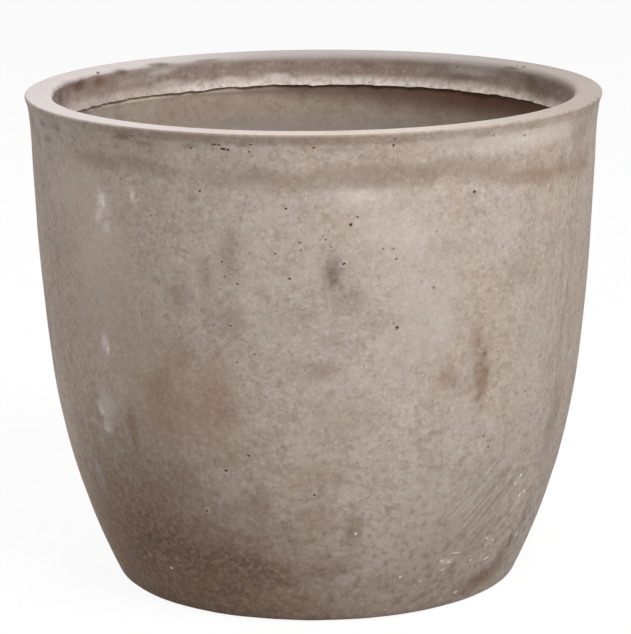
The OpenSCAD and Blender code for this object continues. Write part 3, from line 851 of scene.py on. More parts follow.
def table_row(tree, table, columns, index):
    """The values in one row of a table, by the names of its columns."""
    row = {}
    for name, kind in columns:
        value = add(tree, "GeometryNodeInputNamedAttribute", {"Name": name}, data_type=kind)
        row[name] = add(tree, "GeometryNodeSampleIndex", {
            "Geometry": table, "Value": value.outputs["Attribute"], "Index": index},
            data_type=kind, domain="POINT").outputs["Value"]
    return row


def stain_and_shade_here(tree, stain, reach):
    """How much one mark of stain and painted shade covers of each point: all of it at the centre of
    its ellipsoid, fading out to an edge that wanders by half the reach, or less on a small mark."""
    place = add(tree, "GeometryNodeInputPosition").outputs[0]
    wander = wandering(tree, place, WANDER_SIZE, 4.0)
    size = add(tree, "ShaderNodeSeparateXYZ", {0: stain["span"]}).outputs
    size = add(tree, "ShaderNodeMath", {0: size["X"], 1: size["Z"]}, operation="MINIMUM").outputs[0]
    stray = add(tree, "ShaderNodeMath", {0: size, 1: reach}, operation="MINIMUM").outputs[0]
    wander = add(tree, "ShaderNodeVectorMath", {0: wander, "Scale": stray},
                 operation="SCALE").outputs[0]
    where = add(tree, "ShaderNodeVectorMath", {0: wander, 1: place}, operation="ADD").outputs[0]
    where = add(tree, "ShaderNodeVectorMath", {0: where, 1: stain["position"]},
                operation="SUBTRACT").outputs[0]
    where = add(tree, "ShaderNodeVectorRotate", {"Vector": where, "Rotation": stain["spin"]},
                rotation_type="EULER_XYZ", invert=True).outputs[0]
    where = add(tree, "ShaderNodeVectorMath", {0: where, 1: stain["span"]},
                operation="DIVIDE").outputs[0]
    away = add(tree, "ShaderNodeVectorMath", {0: where}, operation="LENGTH").outputs["Value"]
    inner = add(tree, "ShaderNodeMath", {0: 1.0, 1: stain["fade"]},
                operation="SUBTRACT").outputs[0]
    return add(tree, "ShaderNodeMapRange", {"Value": away, "From Min": 1.0, "From Max": inner,
               "To Max": stain["strength"]}, interpolation_type="SMOOTHSTEP").outputs[0]


def stained_and_shaded(tree, shape, stains, zone, reach):
    """Lays the marks, stains and some painted shade, over one zone of the skin one after another.
    Their colour and cover are stored on the skin."""
    table = add(tree, "GeometryNodeObjectInfo", {"Object": stains}).outputs["Geometry"]
    count = add(tree, "GeometryNodeAttributeDomainSize", {0: table},
                component="MESH").outputs["Point Count"]
    start = add(tree, "GeometryNodeRepeatInput")
    end = add(tree, "GeometryNodeRepeatOutput")
    start.pair_with_output(end)
    tree.links.new(count, start.inputs["Iterations"])
    tree.links.new(shape, start.inputs["Geometry"])
    stain = table_row(tree, table, (("position", "FLOAT_VECTOR"), ("span", "FLOAT_VECTOR"),
                                    ("spin", "FLOAT_VECTOR"), ("tint", "FLOAT_VECTOR"),
                                    ("strength", "FLOAT"), ("fade", "FLOAT")),
                      start.outputs["Iteration"])
    here = add(tree, "GeometryNodeInputNamedAttribute", {"Name": zone},
               data_type="FLOAT").outputs[0]
    cover = add(tree, "ShaderNodeMath", {0: stain_and_shade_here(tree, stain, reach), 1: here},
                operation="MULTIPLY").outputs[0]
    old_tint = add(tree, "GeometryNodeInputNamedAttribute", {"Name": "stain"},
                   data_type="FLOAT_VECTOR").outputs[0]
    new_tint = add(tree, "ShaderNodeMix", {0: cover, 4: old_tint, 5: stain["tint"]},
                   data_type="VECTOR").outputs[1]
    old_cover = add(tree, "GeometryNodeInputNamedAttribute", {"Name": "stain_cover"},
                    data_type="FLOAT").outputs[0]
    new_cover = add(tree, "ShaderNodeMix", {0: cover, 2: old_cover, 3: 1.0},
                    data_type="FLOAT").outputs[0]
    skin = add(tree, "GeometryNodeStoreNamedAttribute", {"Geometry": start.outputs["Geometry"],
               "Name": "stain", "Value": new_tint}, data_type="FLOAT_VECTOR",
               domain="POINT").outputs[0]
    skin = add(tree, "GeometryNodeStoreNamedAttribute", {"Geometry": skin,
               "Name": "stain_cover", "Value": new_cover}, data_type="FLOAT",
               domain="POINT").outputs[0]
    tree.links.new(skin, end.inputs["Geometry"])
    return end.outputs["Geometry"]


def stray_points(tree, given, shape, marks):
    """Points scattered where the skin may have holes, none of them close to a mark."""
    holes = add(tree, "GeometryNodeInputNamedAttribute", {"Name": "holes"},
                data_type="FLOAT").outputs[0]
    scattered = add(tree, "GeometryNodeDistributePointsOnFaces", {"Mesh": shape,
                    "Distance Min": STRAY_APART, "Density Max": given["Hole Density"],
                    "Density Factor": holes, "Seed": given["Seed"]},
                    distribute_method="POISSON").outputs["Points"]
    far = add(tree, "GeometryNodeProximity", {"Geometry": marks},
              target_element="POINTS").outputs["Distance"]
    far = add(tree, "FunctionNodeCompare", {0: far, 1: STRAY_CLEAR},
              operation="GREATER_THAN").outputs[0]
    return add(tree, "GeometryNodeSeparateGeometry", {"Geometry": scattered,
               "Selection": far}).outputs["Selection"]


def hole_cutters(tree, given, shape):
    """Uneven little balls that are cut out of the skin: one at each mark, lying along the skin,
    and smaller ones scattered over it."""
    normal = add(tree, "GeometryNodeInputNormal").outputs[0]
    outward = add(tree, "GeometryNodeSampleNearestSurface", {"Mesh": shape, "Value": normal},
                  data_type="FLOAT_VECTOR").outputs["Value"]
    facing = add(tree, "FunctionNodeAlignRotationToVector", {"Vector": outward}, axis="Z")
    marks = add(tree, "GeometryNodeObjectInfo", {"Object": given["Marks"]}).outputs["Geometry"]
    marks = add(tree, "GeometryNodeMeshToPoints", {"Mesh": marks}).outputs[0]
    surface = add(tree, "GeometryNodeProximity", {"Geometry": shape},
                  target_element="FACES").outputs["Position"]
    marks = add(tree, "GeometryNodeSetPosition", {"Geometry": marks,
                "Position": surface}).outputs[0]
    scattered = stray_points(tree, given, shape, marks)
    span = add(tree, "GeometryNodeInputNamedAttribute", {"Name": "span"},
               data_type="FLOAT_VECTOR").outputs[0]
    spin = add(tree, "GeometryNodeInputNamedAttribute", {"Name": "spin"},
               data_type="FLOAT_VECTOR").outputs[0]
    stray_span = add(tree, "FunctionNodeRandomValue", {"Min": STRAY_LEAST, "Max": STRAY_MOST,
                     "Seed": given["Seed"]}, data_type="FLOAT_VECTOR").outputs[0]
    stray_spin = add(tree, "FunctionNodeRandomValue", {0: (0.0, 0.0, 0.0),
                     1: (0.0, 0.0, math.tau), "Seed": given["Seed"]},
                     data_type="FLOAT_VECTOR").outputs[0]
    cutters = add(tree, "GeometryNodeJoinGeometry")
    for points, scale, turn, fineness in ((marks, span, spin, 3),
                                          (scattered, stray_span, stray_spin, 1)):
        ball = add(tree, "GeometryNodeMeshIcoSphere", {"Radius": 1.0, "Subdivisions": fineness})
        turned = add(tree, "FunctionNodeRotateRotation", {0: facing.outputs[0], 1: turn},
                     rotation_space="LOCAL")
        copies = add(tree, "GeometryNodeInstanceOnPoints", {"Points": points,
                     "Instance": ball.outputs["Mesh"], "Rotation": turned.outputs[0],
                     "Scale": scale}).outputs[0]
        real = add(tree, "GeometryNodeRealizeInstances", {0: copies}).outputs[0]
        tree.links.new(real, cutters.inputs[0])
    rough = shaken(tree, cutters.outputs[0], HOLE_NOISE, HOLE_REACH, 2.0)
    return add(tree, "GeometryNodeStoreNamedAttribute", {"Geometry": rough, "Name": "air_hole",
               "Value": True}, data_type="BOOLEAN", domain="FACE").outputs[0]


def casting_tree():
    """Revolves a section into a closed casting, lets the mould's waves into its skin, tears its
    ragged edge, lays the stains and painted shade on it and cuts the air holes and chips out of it."""
    tree = bpy.data.node_groups.new("revolved_casting", "GeometryNodeTree")
    for name, kind in (("Section", "NodeSocketGeometry"), ("Sides", "NodeSocketInt"),
                       ("Wave Depth", "NodeSocketFloat"), ("Ragged Depth", "NodeSocketFloat"),
                       ("Marks", "NodeSocketObject"), ("Wall Stains", "NodeSocketObject"),
                       ("Collar Stains", "NodeSocketObject"), ("Hole Density", "NodeSocketFloat"),
                       ("Seed", "NodeSocketInt"), ("Skin", "NodeSocketMaterial"),
                       ("Hole Dirt", "NodeSocketMaterial")):
        tree.interface.new_socket(name, in_out="INPUT", socket_type=kind)
    tree.interface.new_socket("Casting", in_out="OUTPUT", socket_type="NodeSocketGeometry")
    given = add(tree, "NodeGroupInput").outputs
    shape = torn(tree, given, waved(tree, given, revolved(tree, given)))
    shape = add(tree, "GeometryNodeTransform", {"Geometry": shape,
                "Scale": (KEPT_INSIDE, KEPT_INSIDE, KEPT_INSIDE)}).outputs[0]
    shape = stained_and_shaded(tree, shape, given["Wall Stains"], "wall", WALL_WANDER)
    shape = stained_and_shaded(tree, shape, given["Collar Stains"], "mouth", COLLAR_WANDER)
    cut = add(tree, "GeometryNodeMeshBoolean", {"Mesh 1": shape,
              "Mesh 2": hole_cutters(tree, given, shape)},
              operation="DIFFERENCE", solver="MANIFOLD").outputs["Mesh"]

    # the rims of the holes stay crisp
    angle = add(tree, "GeometryNodeInputMeshEdgeAngle").outputs["Unsigned Angle"]
    crisp = add(tree, "FunctionNodeCompare", {0: angle, 1: math.radians(34)},
                operation="GREATER_THAN").outputs[0]
    cast = add(tree, "GeometryNodeSetShadeSmooth", {"Geometry": cut, "Shade Smooth": True},
               domain="FACE").outputs[0]
    cast = add(tree, "GeometryNodeSetShadeSmooth", {"Geometry": cast, "Selection": crisp,
               "Shade Smooth": False}, domain="EDGE").outputs[0]
    cast = add(tree, "GeometryNodeRealizeInstances", {0: cast}).outputs[0]
    cast = add(tree, "GeometryNodeSetMaterial", {"Geometry": cast,
               "Material": given["Skin"]}).outputs[0]
    dirty = add(tree, "GeometryNodeInputNamedAttribute", {"Name": "air_hole"},
                data_type="BOOLEAN").outputs[0]
    cast = add(tree, "GeometryNodeSetMaterial", {"Geometry": cast, "Selection": dirty,
               "Material": given["Hole Dirt"]}).outputs[0]
    add(tree, "NodeGroupOutput", {0: cast})
    return tree


def new_object(name, mesh):
    """A new object in the scene that holds the mesh."""
    piece = bpy.data.objects.new(name, mesh)
    bpy.context.scene.collection.objects.link(piece)
    return piece


def plain_mesh(piece):
    """Gives the piece the mesh that its modifiers make, and takes the modifiers away."""
    bpy.context.view_layer.update()
    shown = piece.evaluated_get(bpy.context.evaluated_depsgraph_get())
    mesh = bpy.data.meshes.new_from_object(shown)
    piece.modifiers.clear()
    old = piece.data
    piece.data = mesh
    bpy.data.meshes.remove(old)
    mesh.name = piece.name


def clear_material(name):
    """A new material with an empty node tree."""
    material = bpy.data.materials.new(name)
    material.use_nodes = True
    material.node_tree.nodes.clear()
    return material


def tinted(tree, skin, value, start, full, strength, colour):
    """Lays a colour over another, from nothing where the value is start to the given strength
    where it is full."""
    share = add(tree, "ShaderNodeMapRange", {"Value": value, "From Min": start, "From Max": full,
                "To Max": strength}, interpolation_type="SMOOTHSTEP").outputs[0]
    return add(tree, "ShaderNodeMix", {0: share, 6: skin, 7: linear(colour)},
               data_type="RGBA").outputs[2]


def banded(tree, skin, band, strength, colour):
    """Lays a colour over another in a band, with the given strength."""
    share = add(tree, "ShaderNodeMath", {0: band, 1: strength}, operation="MULTIPLY").outputs[0]
    return add(tree, "ShaderNodeMix", {0: share, 6: skin, 7: linear(colour)},
               data_type="RGBA").outputs[2]


def mottled(tree, where, skin, layers, mask=None):
    """Lays clouds and speckles of noise over a colour, all over it or as far as the mask goes."""
    for size, detail, roughness, start, full, colour, strength in layers:
        noise = add(tree, "ShaderNodeTexNoise", {"Vector": where, "Scale": 1000/size,
                    "Detail": detail, "Roughness": roughness}).outputs["Fac"]
        if mask is not None:
            strength = add(tree, "ShaderNodeMath", {0: mask, 1: strength},
                           operation="MULTIPLY").outputs[0]
        skin = tinted(tree, skin, noise, start, full, strength, colour)
    return skin


def under_stain_and_shade(tree, skin, tint, cover):
    """A colour with stains and painted shade over it, where their colour is already cut by their
    cover.
    """
    skin = add(tree, "ShaderNodeMix", {0: cover, 6: skin, 7: linear("000000")},
               data_type="RGBA").outputs[2]
    return add(tree, "ShaderNodeVectorMath", {0: skin, 1: tint}, operation="ADD").outputs[0]


def height_band(tree, height, start, full, last, end):
    """1 between the heights full and last, in millimetres, fading out to start and end."""
    rising = add(tree, "ShaderNodeMapRange", {"Value": height, "From Min": start*MM,
                 "From Max": full*MM}, interpolation_type="SMOOTHSTEP").outputs[0]
    falling = add(tree, "ShaderNodeMapRange", {"Value": height, "From Min": end*MM,
                  "From Max": last*MM}, interpolation_type="SMOOTHSTEP").outputs[0]
    return add(tree, "ShaderNodeMath", {0: rising, 1: falling}, operation="MULTIPLY").outputs[0]


def spot(tree, where, ellipse):
    """1 at the centre of an ellipse on the wall, falling evenly to 0 at its edge."""
    local = add(tree, "ShaderNodeMapping", {"Vector": where, **on_wall(*ellipse)},
                vector_type="TEXTURE").outputs[0]
    return add(tree, "ShaderNodeTexGradient", {"Vector": local},
               gradient_type="SPHERICAL").outputs["Fac"]


def places_on_pot(tree):
    """What the concrete's colours go by: the place, the same with a wander, its X, Y and Z, and
    a height with a little wander."""
    place = add(tree, "ShaderNodeTexCoord").outputs["Object"]
    xyz = add(tree, "ShaderNodeSeparateXYZ", {0: place}).outputs
    wander = wandering(tree, place, WANDER_SIZE, 4.0)
    wander = add(tree, "ShaderNodeVectorMath", {0: wander, "Scale": WALL_WANDER},
                 operation="SCALE").outputs[0]
    blurred = add(tree, "ShaderNodeVectorMath", {0: place, 1: wander}, operation="ADD").outputs[0]
    nudge = add(tree, "ShaderNodeVectorMath", {0: wander, "Scale": BAND_WANDER},
                operation="SCALE").outputs[0]
    uneven = add(tree, "ShaderNodeVectorMath", {0: place, 1: nudge}, operation="ADD").outputs[0]
    height = add(tree, "ShaderNodeSeparateXYZ", {0: uneven}).outputs["Z"]
    return {"place": place, "blurred": blurred, "X": xyz["X"], "Y": xyz["Y"], "Z": xyz["Z"],
            "height": height}


def lip_colour(tree, at, look):
    """Pale and rubbed, greyer at the back and the right and paler at the left."""
    lip = mottled(tree, at["place"], list(look.lip) + [1], LIP_MOTTLE)
    for axis, start, full, strength, colour in LIP_SHADES:
        lip = tinted(tree, lip, at[axis], start, full, strength, colour)
    return lip


def wall_colour(tree, at, look, tint, cover):
    """Clouds and speckles, stains with some painted shade among them, soil that rain splashed up,
    strokes of the brush, nicks, and painted shade under the bead as a brown band, strongest in front."""
    skin = mottled(tree, at["place"], list(look.skin) + [1], WALL_MOTTLE)
    skin = under_stain_and_shade(tree, skin, tint, cover)
    splash = height_band(tree, at["height"], *BANDS["splash"])
    skin = mottled(tree, at["place"], skin, SPLASH_MOTTLE, splash)
    for turn, height, half_width, half_height, tilt, strength in BRUSHED:
        local = add(tree, "ShaderNodeMapping", {"Vector": at["place"],
                    **on_wall(turn, height, *STROKE, tilt)}, vector_type="TEXTURE").outputs[0]
        stroke = add(tree, "ShaderNodeTexNoise", {"Vector": local, "Scale": 0.5,
                     "Detail": 2.0}).outputs["Fac"]
        stroke = add(tree, "ShaderNodeMapRange", {"Value": stroke, "From Min": 0.40,
                     "From Max": 0.66, "To Max": strength},
                     interpolation_type="SMOOTHSTEP").outputs[0]
        share = spot(tree, at["blurred"], (turn, height, half_width, half_height, 0))
        skin = tinted(tree, skin, share, 0.0, 1.0, stroke, "8A7C71")
    nick = 0.0
    for ellipse in NICKS:
        share = add(tree, "ShaderNodeMapRange", {"Value": spot(tree, at["place"], ellipse),
                    "From Max": 0.4, "To Max": 0.9}, interpolation_type="SMOOTHSTEP").outputs[0]
        nick = add(tree, "ShaderNodeMath", {0: share, 1: nick}, operation="MAXIMUM").outputs[0]
    skin = add(tree, "ShaderNodeMix", {0: nick, 6: skin, 7: linear("E2DACE")},
               data_type="RGBA").outputs[2]
    # painted shade under the bead: a brown band, strongest in front and weaker at the sides
    share = add(tree, "ShaderNodeMapRange", {"Value": at["X"], "From Min": 0.02,
                "From Max": 0.15, "To Min": 0.55, "To Max": 0.20}).outputs[0]
    share = add(tree, "ShaderNodeMapRange", {"Value": at["X"], "From Min": -0.19,
                "From Max": -0.09, "To Min": 0.15, "To Max": share}).outputs[0]
    bead_shade = height_band(tree, at["height"], *BANDS["bead_shade"])
    return banded(tree, skin, bead_shade, share, "7B695C")


def inner_colour(tree, at, look):
    """Painted shadow of the ledge, brown close under it and reaching furthest down at the right.
    Lower down it is grey, and at the left painted light lifts the shade at its top."""
    inner = mottled(tree, at["place"], list(look.inside) + [1], INNER_MOTTLE)
    # painted shadow of the ledge: brown under it, reaching further down and darker towards the right
    reach = add(tree, "ShaderNodeMapRange", {"Value": at["X"], "From Min": -0.16,
                "From Max": 0.14, "To Min": 0.004, "To Max": 0.025},
                interpolation_type="SMOOTHSTEP").outputs[0]
    below = add(tree, "ShaderNodeMath", {0: LEDGE_SHADOW_TOP, 1: at["height"]},
                operation="SUBTRACT").outputs[0]
    below = add(tree, "ShaderNodeMath", {0: below, 1: reach}, operation="DIVIDE").outputs[0]
    ledge_shadow_strength = add(tree, "ShaderNodeMapRange", {"Value": at["X"], "From Min": -0.15,
              "From Max": 0.15, "To Min": 0.30, "To Max": 0.90}).outputs[0]
    inner = tinted(tree, inner, below, 1.25, 0.35, ledge_shadow_strength, "5A3824")
    inner = tinted(tree, inner, at["height"], 0.352, 0.328, 0.75, "948C87")
    # painted light that lifts the shade right under the ledge at the left
    fill_light = add(tree, "ShaderNodeMapRange", {"Value": at["X"], "From Min": -0.12,
                "From Max": -0.02, "To Min": 0.9, "To Max": 0.0}).outputs[0]
    close = height_band(tree, at["Z"], *BANDS["under_ledge"])
    return banded(tree, inner, close, fill_light, "D6C6B4")


def collar_colour(tree, at, look):
    """Brown in its hollow, pale where it turns into the lip at the back and the right, and along its
    torn edge pale grains with a painted highlight where the ledge turns up to the light."""
    collar = mottled(tree, at["place"], list(look.collar) + [1], COLLAR_MOTTLE)
    rear = add(tree, "ShaderNodeMapRange", {"Value": at["Y"], "From Min": 0.08,
               "From Max": 0.19, "To Max": 0.85}, interpolation_type="SMOOTHSTEP").outputs[0]
    right = add(tree, "ShaderNodeMapRange", {"Value": at["X"], "From Min": 0.10,
                "From Max": 0.19, "To Max": 0.75}, interpolation_type="SMOOTHSTEP").outputs[0]
    turned = add(tree, "ShaderNodeMath", {0: rear, 1: right}, operation="MAXIMUM").outputs[0]
    top = height_band(tree, at["height"], *BANDS["collar_top"])
    collar = banded(tree, collar, top, turned, "ADA29B")
    # pale grains along the torn edge, partly a painted highlight where the ledge turns up to the
    # light, weaker at the left
    grains_and_highlight = add(tree, "ShaderNodeMapRange", {"Value": at["X"], "From Min": -0.145,
               "From Max": -0.100, "To Min": 0.22, "To Max": 0.88}).outputs[0]
    grains = add(tree, "ShaderNodeTexNoise", {"Vector": at["place"], "Scale": 1/LEDGE_SAND,
                 "Detail": 2.0}).outputs["Fac"]
    grains_and_highlight = add(tree, "ShaderNodeMapRange", {"Value": grains, "From Min": 0.34, "From Max": 0.58,
               "To Min": 0.42, "To Max": grains_and_highlight}).outputs[0]
    torn_edge = height_band(tree, at["height"], *BANDS["torn_edge"])
    return banded(tree, collar, torn_edge, grains_and_highlight, "DDD3CB")


def weathered_concrete(look):
    """Cast concrete, sand and cement pressed into a mould by hand and left outdoors. It gives
    the eye a dull, dry taupe with soft pale and dark speckles, cloudy patches, brown stains
    that rise from the ground with painted shade at the lower left, a painted shadow under the
    ledge, and a pale rubbed lip."""
    material = clear_material("weathered_cast_concrete")
    tree = material.node_tree
    at = places_on_pot(tree)
    sand = add(tree, "ShaderNodeTexNoise", {"Vector": at["place"], "Scale": 1/SAND,
               "Detail": 1.0, "Roughness": 0.5}).outputs["Fac"]
    speckle = add(tree, "ShaderNodeMapRange", {"Value": sand, "From Min": 0.36,
                  "From Max": 0.62, "To Min": 0.72}).outputs[0]

    # stains and painted shade that the casting carries, broken up by the sand
    tint = add(tree, "ShaderNodeAttribute", attribute_name="stain",
               attribute_type="GEOMETRY").outputs["Vector"]
    tint = add(tree, "ShaderNodeVectorMath", {0: tint, "Scale": speckle},
               operation="SCALE").outputs[0]
    cover = add(tree, "ShaderNodeAttribute", attribute_name="stain_cover",
                attribute_type="GEOMETRY").outputs["Fac"]
    cover = add(tree, "ShaderNodeMath", {0: cover, 1: speckle}, operation="MULTIPLY").outputs[0]

    lip = lip_colour(tree, at, look)
    skin = wall_colour(tree, at, look, tint, cover)
    edge = height_band(tree, at["Z"], *BANDS["lip_edge"])
    skin = add(tree, "ShaderNodeMix", {0: edge, 6: skin, 7: lip}, data_type="RGBA").outputs[2]
    inner = inner_colour(tree, at, look)
    collar = collar_colour(tree, at, look)
    # the lip's pale skin ends unevenly where it rounds into the collar
    rubbed = height_band(tree, at["height"], *BANDS["lip_round"])
    lip = add(tree, "ShaderNodeMix", {0: rubbed, 6: collar, 7: lip}, data_type="RGBA").outputs[2]
    lip = under_stain_and_shade(tree, lip, tint, cover)
    collar = under_stain_and_shade(tree, collar, tint, cover)
    under = mottled(tree, at["place"], list(look.under) + [1], UNDER_MOTTLE)
    for zone, colour in (("inside", inner), ("collar", collar), ("lip", lip), ("under", under)):
        share = add(tree, "ShaderNodeAttribute", attribute_name=zone,
                    attribute_type="GEOMETRY").outputs["Fac"]
        skin = add(tree, "ShaderNodeMix", {0: share, 6: skin, 7: colour},
                   data_type="RGBA").outputs[2]

    relief = 0.0
    for size, height in RELIEF:
        noise = add(tree, "ShaderNodeTexNoise", {"Vector": at["place"], "Scale": 1/size,
                    "Detail": 3.0, "Roughness": 0.65}).outputs["Fac"]
        relief = add(tree, "ShaderNodeMath", {0: noise, 1: height, 2: relief},
                     operation="MULTIPLY_ADD").outputs[0]
    bump = add(tree, "ShaderNodeBump", {"Strength": 1.0, "Distance": 1.0, "Height": relief})
    dull = add(tree, "ShaderNodeMapRange", {"Value": sand, "From Min": 0.3, "From Max": 0.7,
               "To Min": 0.86, "To Max": 0.72}).outputs[0]
    shader = add(tree, "ShaderNodeBsdfPrincipled", {
        "Base Color": skin, "Roughness": dull, "IOR": 1.5, "Specular IOR Level": 0.35,
        "Normal": bump.outputs[0]})
    add(tree, "ShaderNodeOutputMaterial", {0: shader.outputs[0]})
    return material


def hole_dirt(look):
    """Dust and algae caught in the air holes. It gives the eye small dark, dull points."""
    material = clear_material("dirt_in_air_holes")
    tree = material.node_tree
    place = add(tree, "ShaderNodeTexCoord").outputs["Object"]
    patch = add(tree, "ShaderNodeTexNoise", {"Vector": place, "Scale": 1/0.002, "Detail": 2.0})
    colour = add(tree, "ShaderNodeMix", {0: patch.outputs["Fac"], 6: list(look.pit) + [1],
                 7: linear("8F8275")}, data_type="RGBA").outputs[2]
    bump = add(tree, "ShaderNodeBump", {"Strength": 0.6, "Distance": 0.0003,
               "Height": patch.outputs["Fac"]})
    shader = add(tree, "ShaderNodeBsdfPrincipled", {"Base Color": colour, "Roughness": 0.95,
                 "IOR": 1.5, "Specular IOR Level": 0.2, "Normal": bump.outputs[0]})
    add(tree, "ShaderNodeOutputMaterial", {0: shader.outputs[0]})
    return material


def moulded_rubber(look):
    """Moulded EPDM rubber with a fine eroded grain. It gives the eye a soft dark grey sheen,
    dusty in patches."""
    material = clear_material("moulded_epdm_rubber")
    tree = material.node_tree
    place = add(tree, "ShaderNodeTexCoord").outputs["Object"]
    # the mould's eroded grain is finer than 0.1 mm, and is drawn as 0.6 mm so that it shows
    grain = add(tree, "ShaderNodeTexNoise", {"Vector": place, "Scale": 1/0.0006,
                "Detail": 3.0}).outputs["Fac"]
    dust = add(tree, "ShaderNodeTexNoise", {"Vector": place, "Scale": 1/0.012, "Detail": 5.0,
               "Roughness": 0.7}).outputs["Fac"]
    share = add(tree, "ShaderNodeMapRange", {"Value": dust, "From Min": 0.45, "From Max": 0.75,
                "To Min": 0.0, "To Max": 0.35}).outputs[0]
    colour = add(tree, "ShaderNodeMix", {0: share, 6: list(look.rubber) + [1],
                 7: linear("6E6862")}, data_type="RGBA").outputs[2]
    dull = add(tree, "ShaderNodeMapRange", {"Value": dust, "From Min": 0.3, "From Max": 0.7,
               "To Min": 0.48, "To Max": 0.72}).outputs[0]
    bump = add(tree, "ShaderNodeBump", {"Strength": 0.5, "Distance": 0.0001, "Height": grain})
    shader = add(tree, "ShaderNodeBsdfPrincipled", {"Base Color": colour, "Roughness": dull,
                 "IOR": 1.52, "Normal": bump.outputs[0]})
    add(tree, "ShaderNodeOutputMaterial", {0: shader.outputs[0]})
    return material


def drawn_pipe(look):
    """Extruded PVC pipe, sawn to length. It gives the eye an even grey with fine lines along
    the pipe and a dulled, limy skin."""
    material = clear_material("extruded_pvc_pipe")
    tree = material.node_tree
    place = add(tree, "ShaderNodeTexCoord").outputs["Object"]
    # lines 1.1 mm apart and about 33 mm long, coarser than the real ones so that they show
    drawn = add(tree, "ShaderNodeMapping", {"Vector": place, "Scale": (900.0, 900.0, 30.0)})
    lines = add(tree, "ShaderNodeTexNoise", {"Vector": drawn.outputs[0], "Scale": 1.0,
                "Detail": 2.0}).outputs["Fac"]
    lime = add(tree, "ShaderNodeTexNoise", {"Vector": place, "Scale": 1/0.005,
               "Detail": 4.0}).outputs["Fac"]
    share = add(tree, "ShaderNodeMapRange", {"Value": lime, "From Min": 0.5, "From Max": 0.75,
                "To Min": 0.0, "To Max": 0.5}).outputs[0]
    colour = add(tree, "ShaderNodeMix", {0: share, 6: list(look.pipe) + [1],
                 7: linear("A8A29A")}, data_type="RGBA").outputs[2]
    bump = add(tree, "ShaderNodeBump", {"Strength": 0.4, "Distance": 0.0001, "Height": lines})
    shader = add(tree, "ShaderNodeBsdfPrincipled", {"Base Color": colour, "Roughness": 0.5,
                 "IOR": 1.53, "Normal": bump.outputs[0]})
    add(tree, "ShaderNodeOutputMaterial", {0: shader.outputs[0]})
    return material


class PLANTER_OT_cast_pot(bpy.types.Operator):
    """Casts the pot: the section revolved, its torn ledge, its waves, air holes and chips"""
    bl_idname = "planter.cast_pot"
    bl_label = "Cast Pot"

    def execute(self, context):
        sizes, look = context.scene.pot_sizes, context.scene.concrete_look
        pot = new_object("cast_pot", section_mesh(sizes))
        tables = {"Marks": new_object("pit_marks", marks_mesh(sizes)),
                  "Wall Stains": new_object("wall_stains", stains_and_shade_mesh("wall_stains", WALL_MARKS)),
                  "Collar Stains": new_object("collar_stains",
                                              stains_and_shade_mesh("collar_stains", COLLAR_MARKS))}
        tree = casting_tree()
        modifier = pot.modifiers.new("casting", "NODES")
        modifier.node_group = tree
        values = {"Sides": sizes.sides, "Wave Depth": look.wave, "Ragged Depth": look.ragged,
                  "Hole Density": look.pit_density, "Seed": look.seed,
                  "Skin": weathered_concrete(look), "Hole Dirt": hole_dirt(look), **tables}
        for socket in tree.interface.items_tree:
            if socket.in_out == "INPUT" and socket.name in values:
                modifier[socket.identifier] = values[socket.name]
        plain_mesh(pot)
        for table in tables.values():
            bpy.data.objects.remove(table)
        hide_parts("pot_shell")
        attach(pot, "pot")
        return {"FINISHED"}


class PLANTER_OT_drain_sleeve(bpy.types.Operator):
    """Gives the drain sleeve its pipe plastic"""
    bl_idname = "planter.drain_sleeve"
    bl_label = "Drain Sleeve"

    def execute(self, context):
        pipe = drawn_pipe(context.scene.stopper_look)
        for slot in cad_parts["drain_sleeve"].material_slots:
            slot.material = pipe
        return {"FINISHED"}


class PLANTER_OT_stopper(bpy.types.Operator):
    """Moulds the rubber stopper: the solid's shape with every corner softened"""
    bl_idname = "planter.stopper"
    bl_label = "Stopper"

    def execute(self, context):
        look = context.scene.stopper_look
        plug = new_object("rubber_stopper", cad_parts["drain_plug"].data.copy())
        plug.data.materials.clear()
        plug.data.materials.append(moulded_rubber(look))
        weld = plug.modifiers.new("weld", "WELD")
        weld.merge_threshold = 0.00001
        remesh = plug.modifiers.new("moulding", "REMESH")
        remesh.mode = "VOXEL"
        remesh.voxel_size = look.voxel
        remesh.use_smooth_shade = True
        smooth = plug.modifiers.new("soft_corners", "SMOOTH")
        smooth.factor = 0.5
        smooth.iterations = 4
        plain_mesh(plug)
        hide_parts("drain_plug")
        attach(plug, "plug")
        return {"FINISHED"}


def in_view(tree):
    """1 on rays from the camera, also by way of a mirror or through glass, and 0 on the rest."""
    rays = add(tree, "ShaderNodeLightPath").outputs
    seen = rays["Is Camera Ray"]
    for other in ("Is Glossy Ray", "Is Transmission Ray"):
        seen = add(tree, "ShaderNodeMath", {0: seen, 1: rays[other]},
                   operation="MAXIMUM").outputs[0]
    return seen


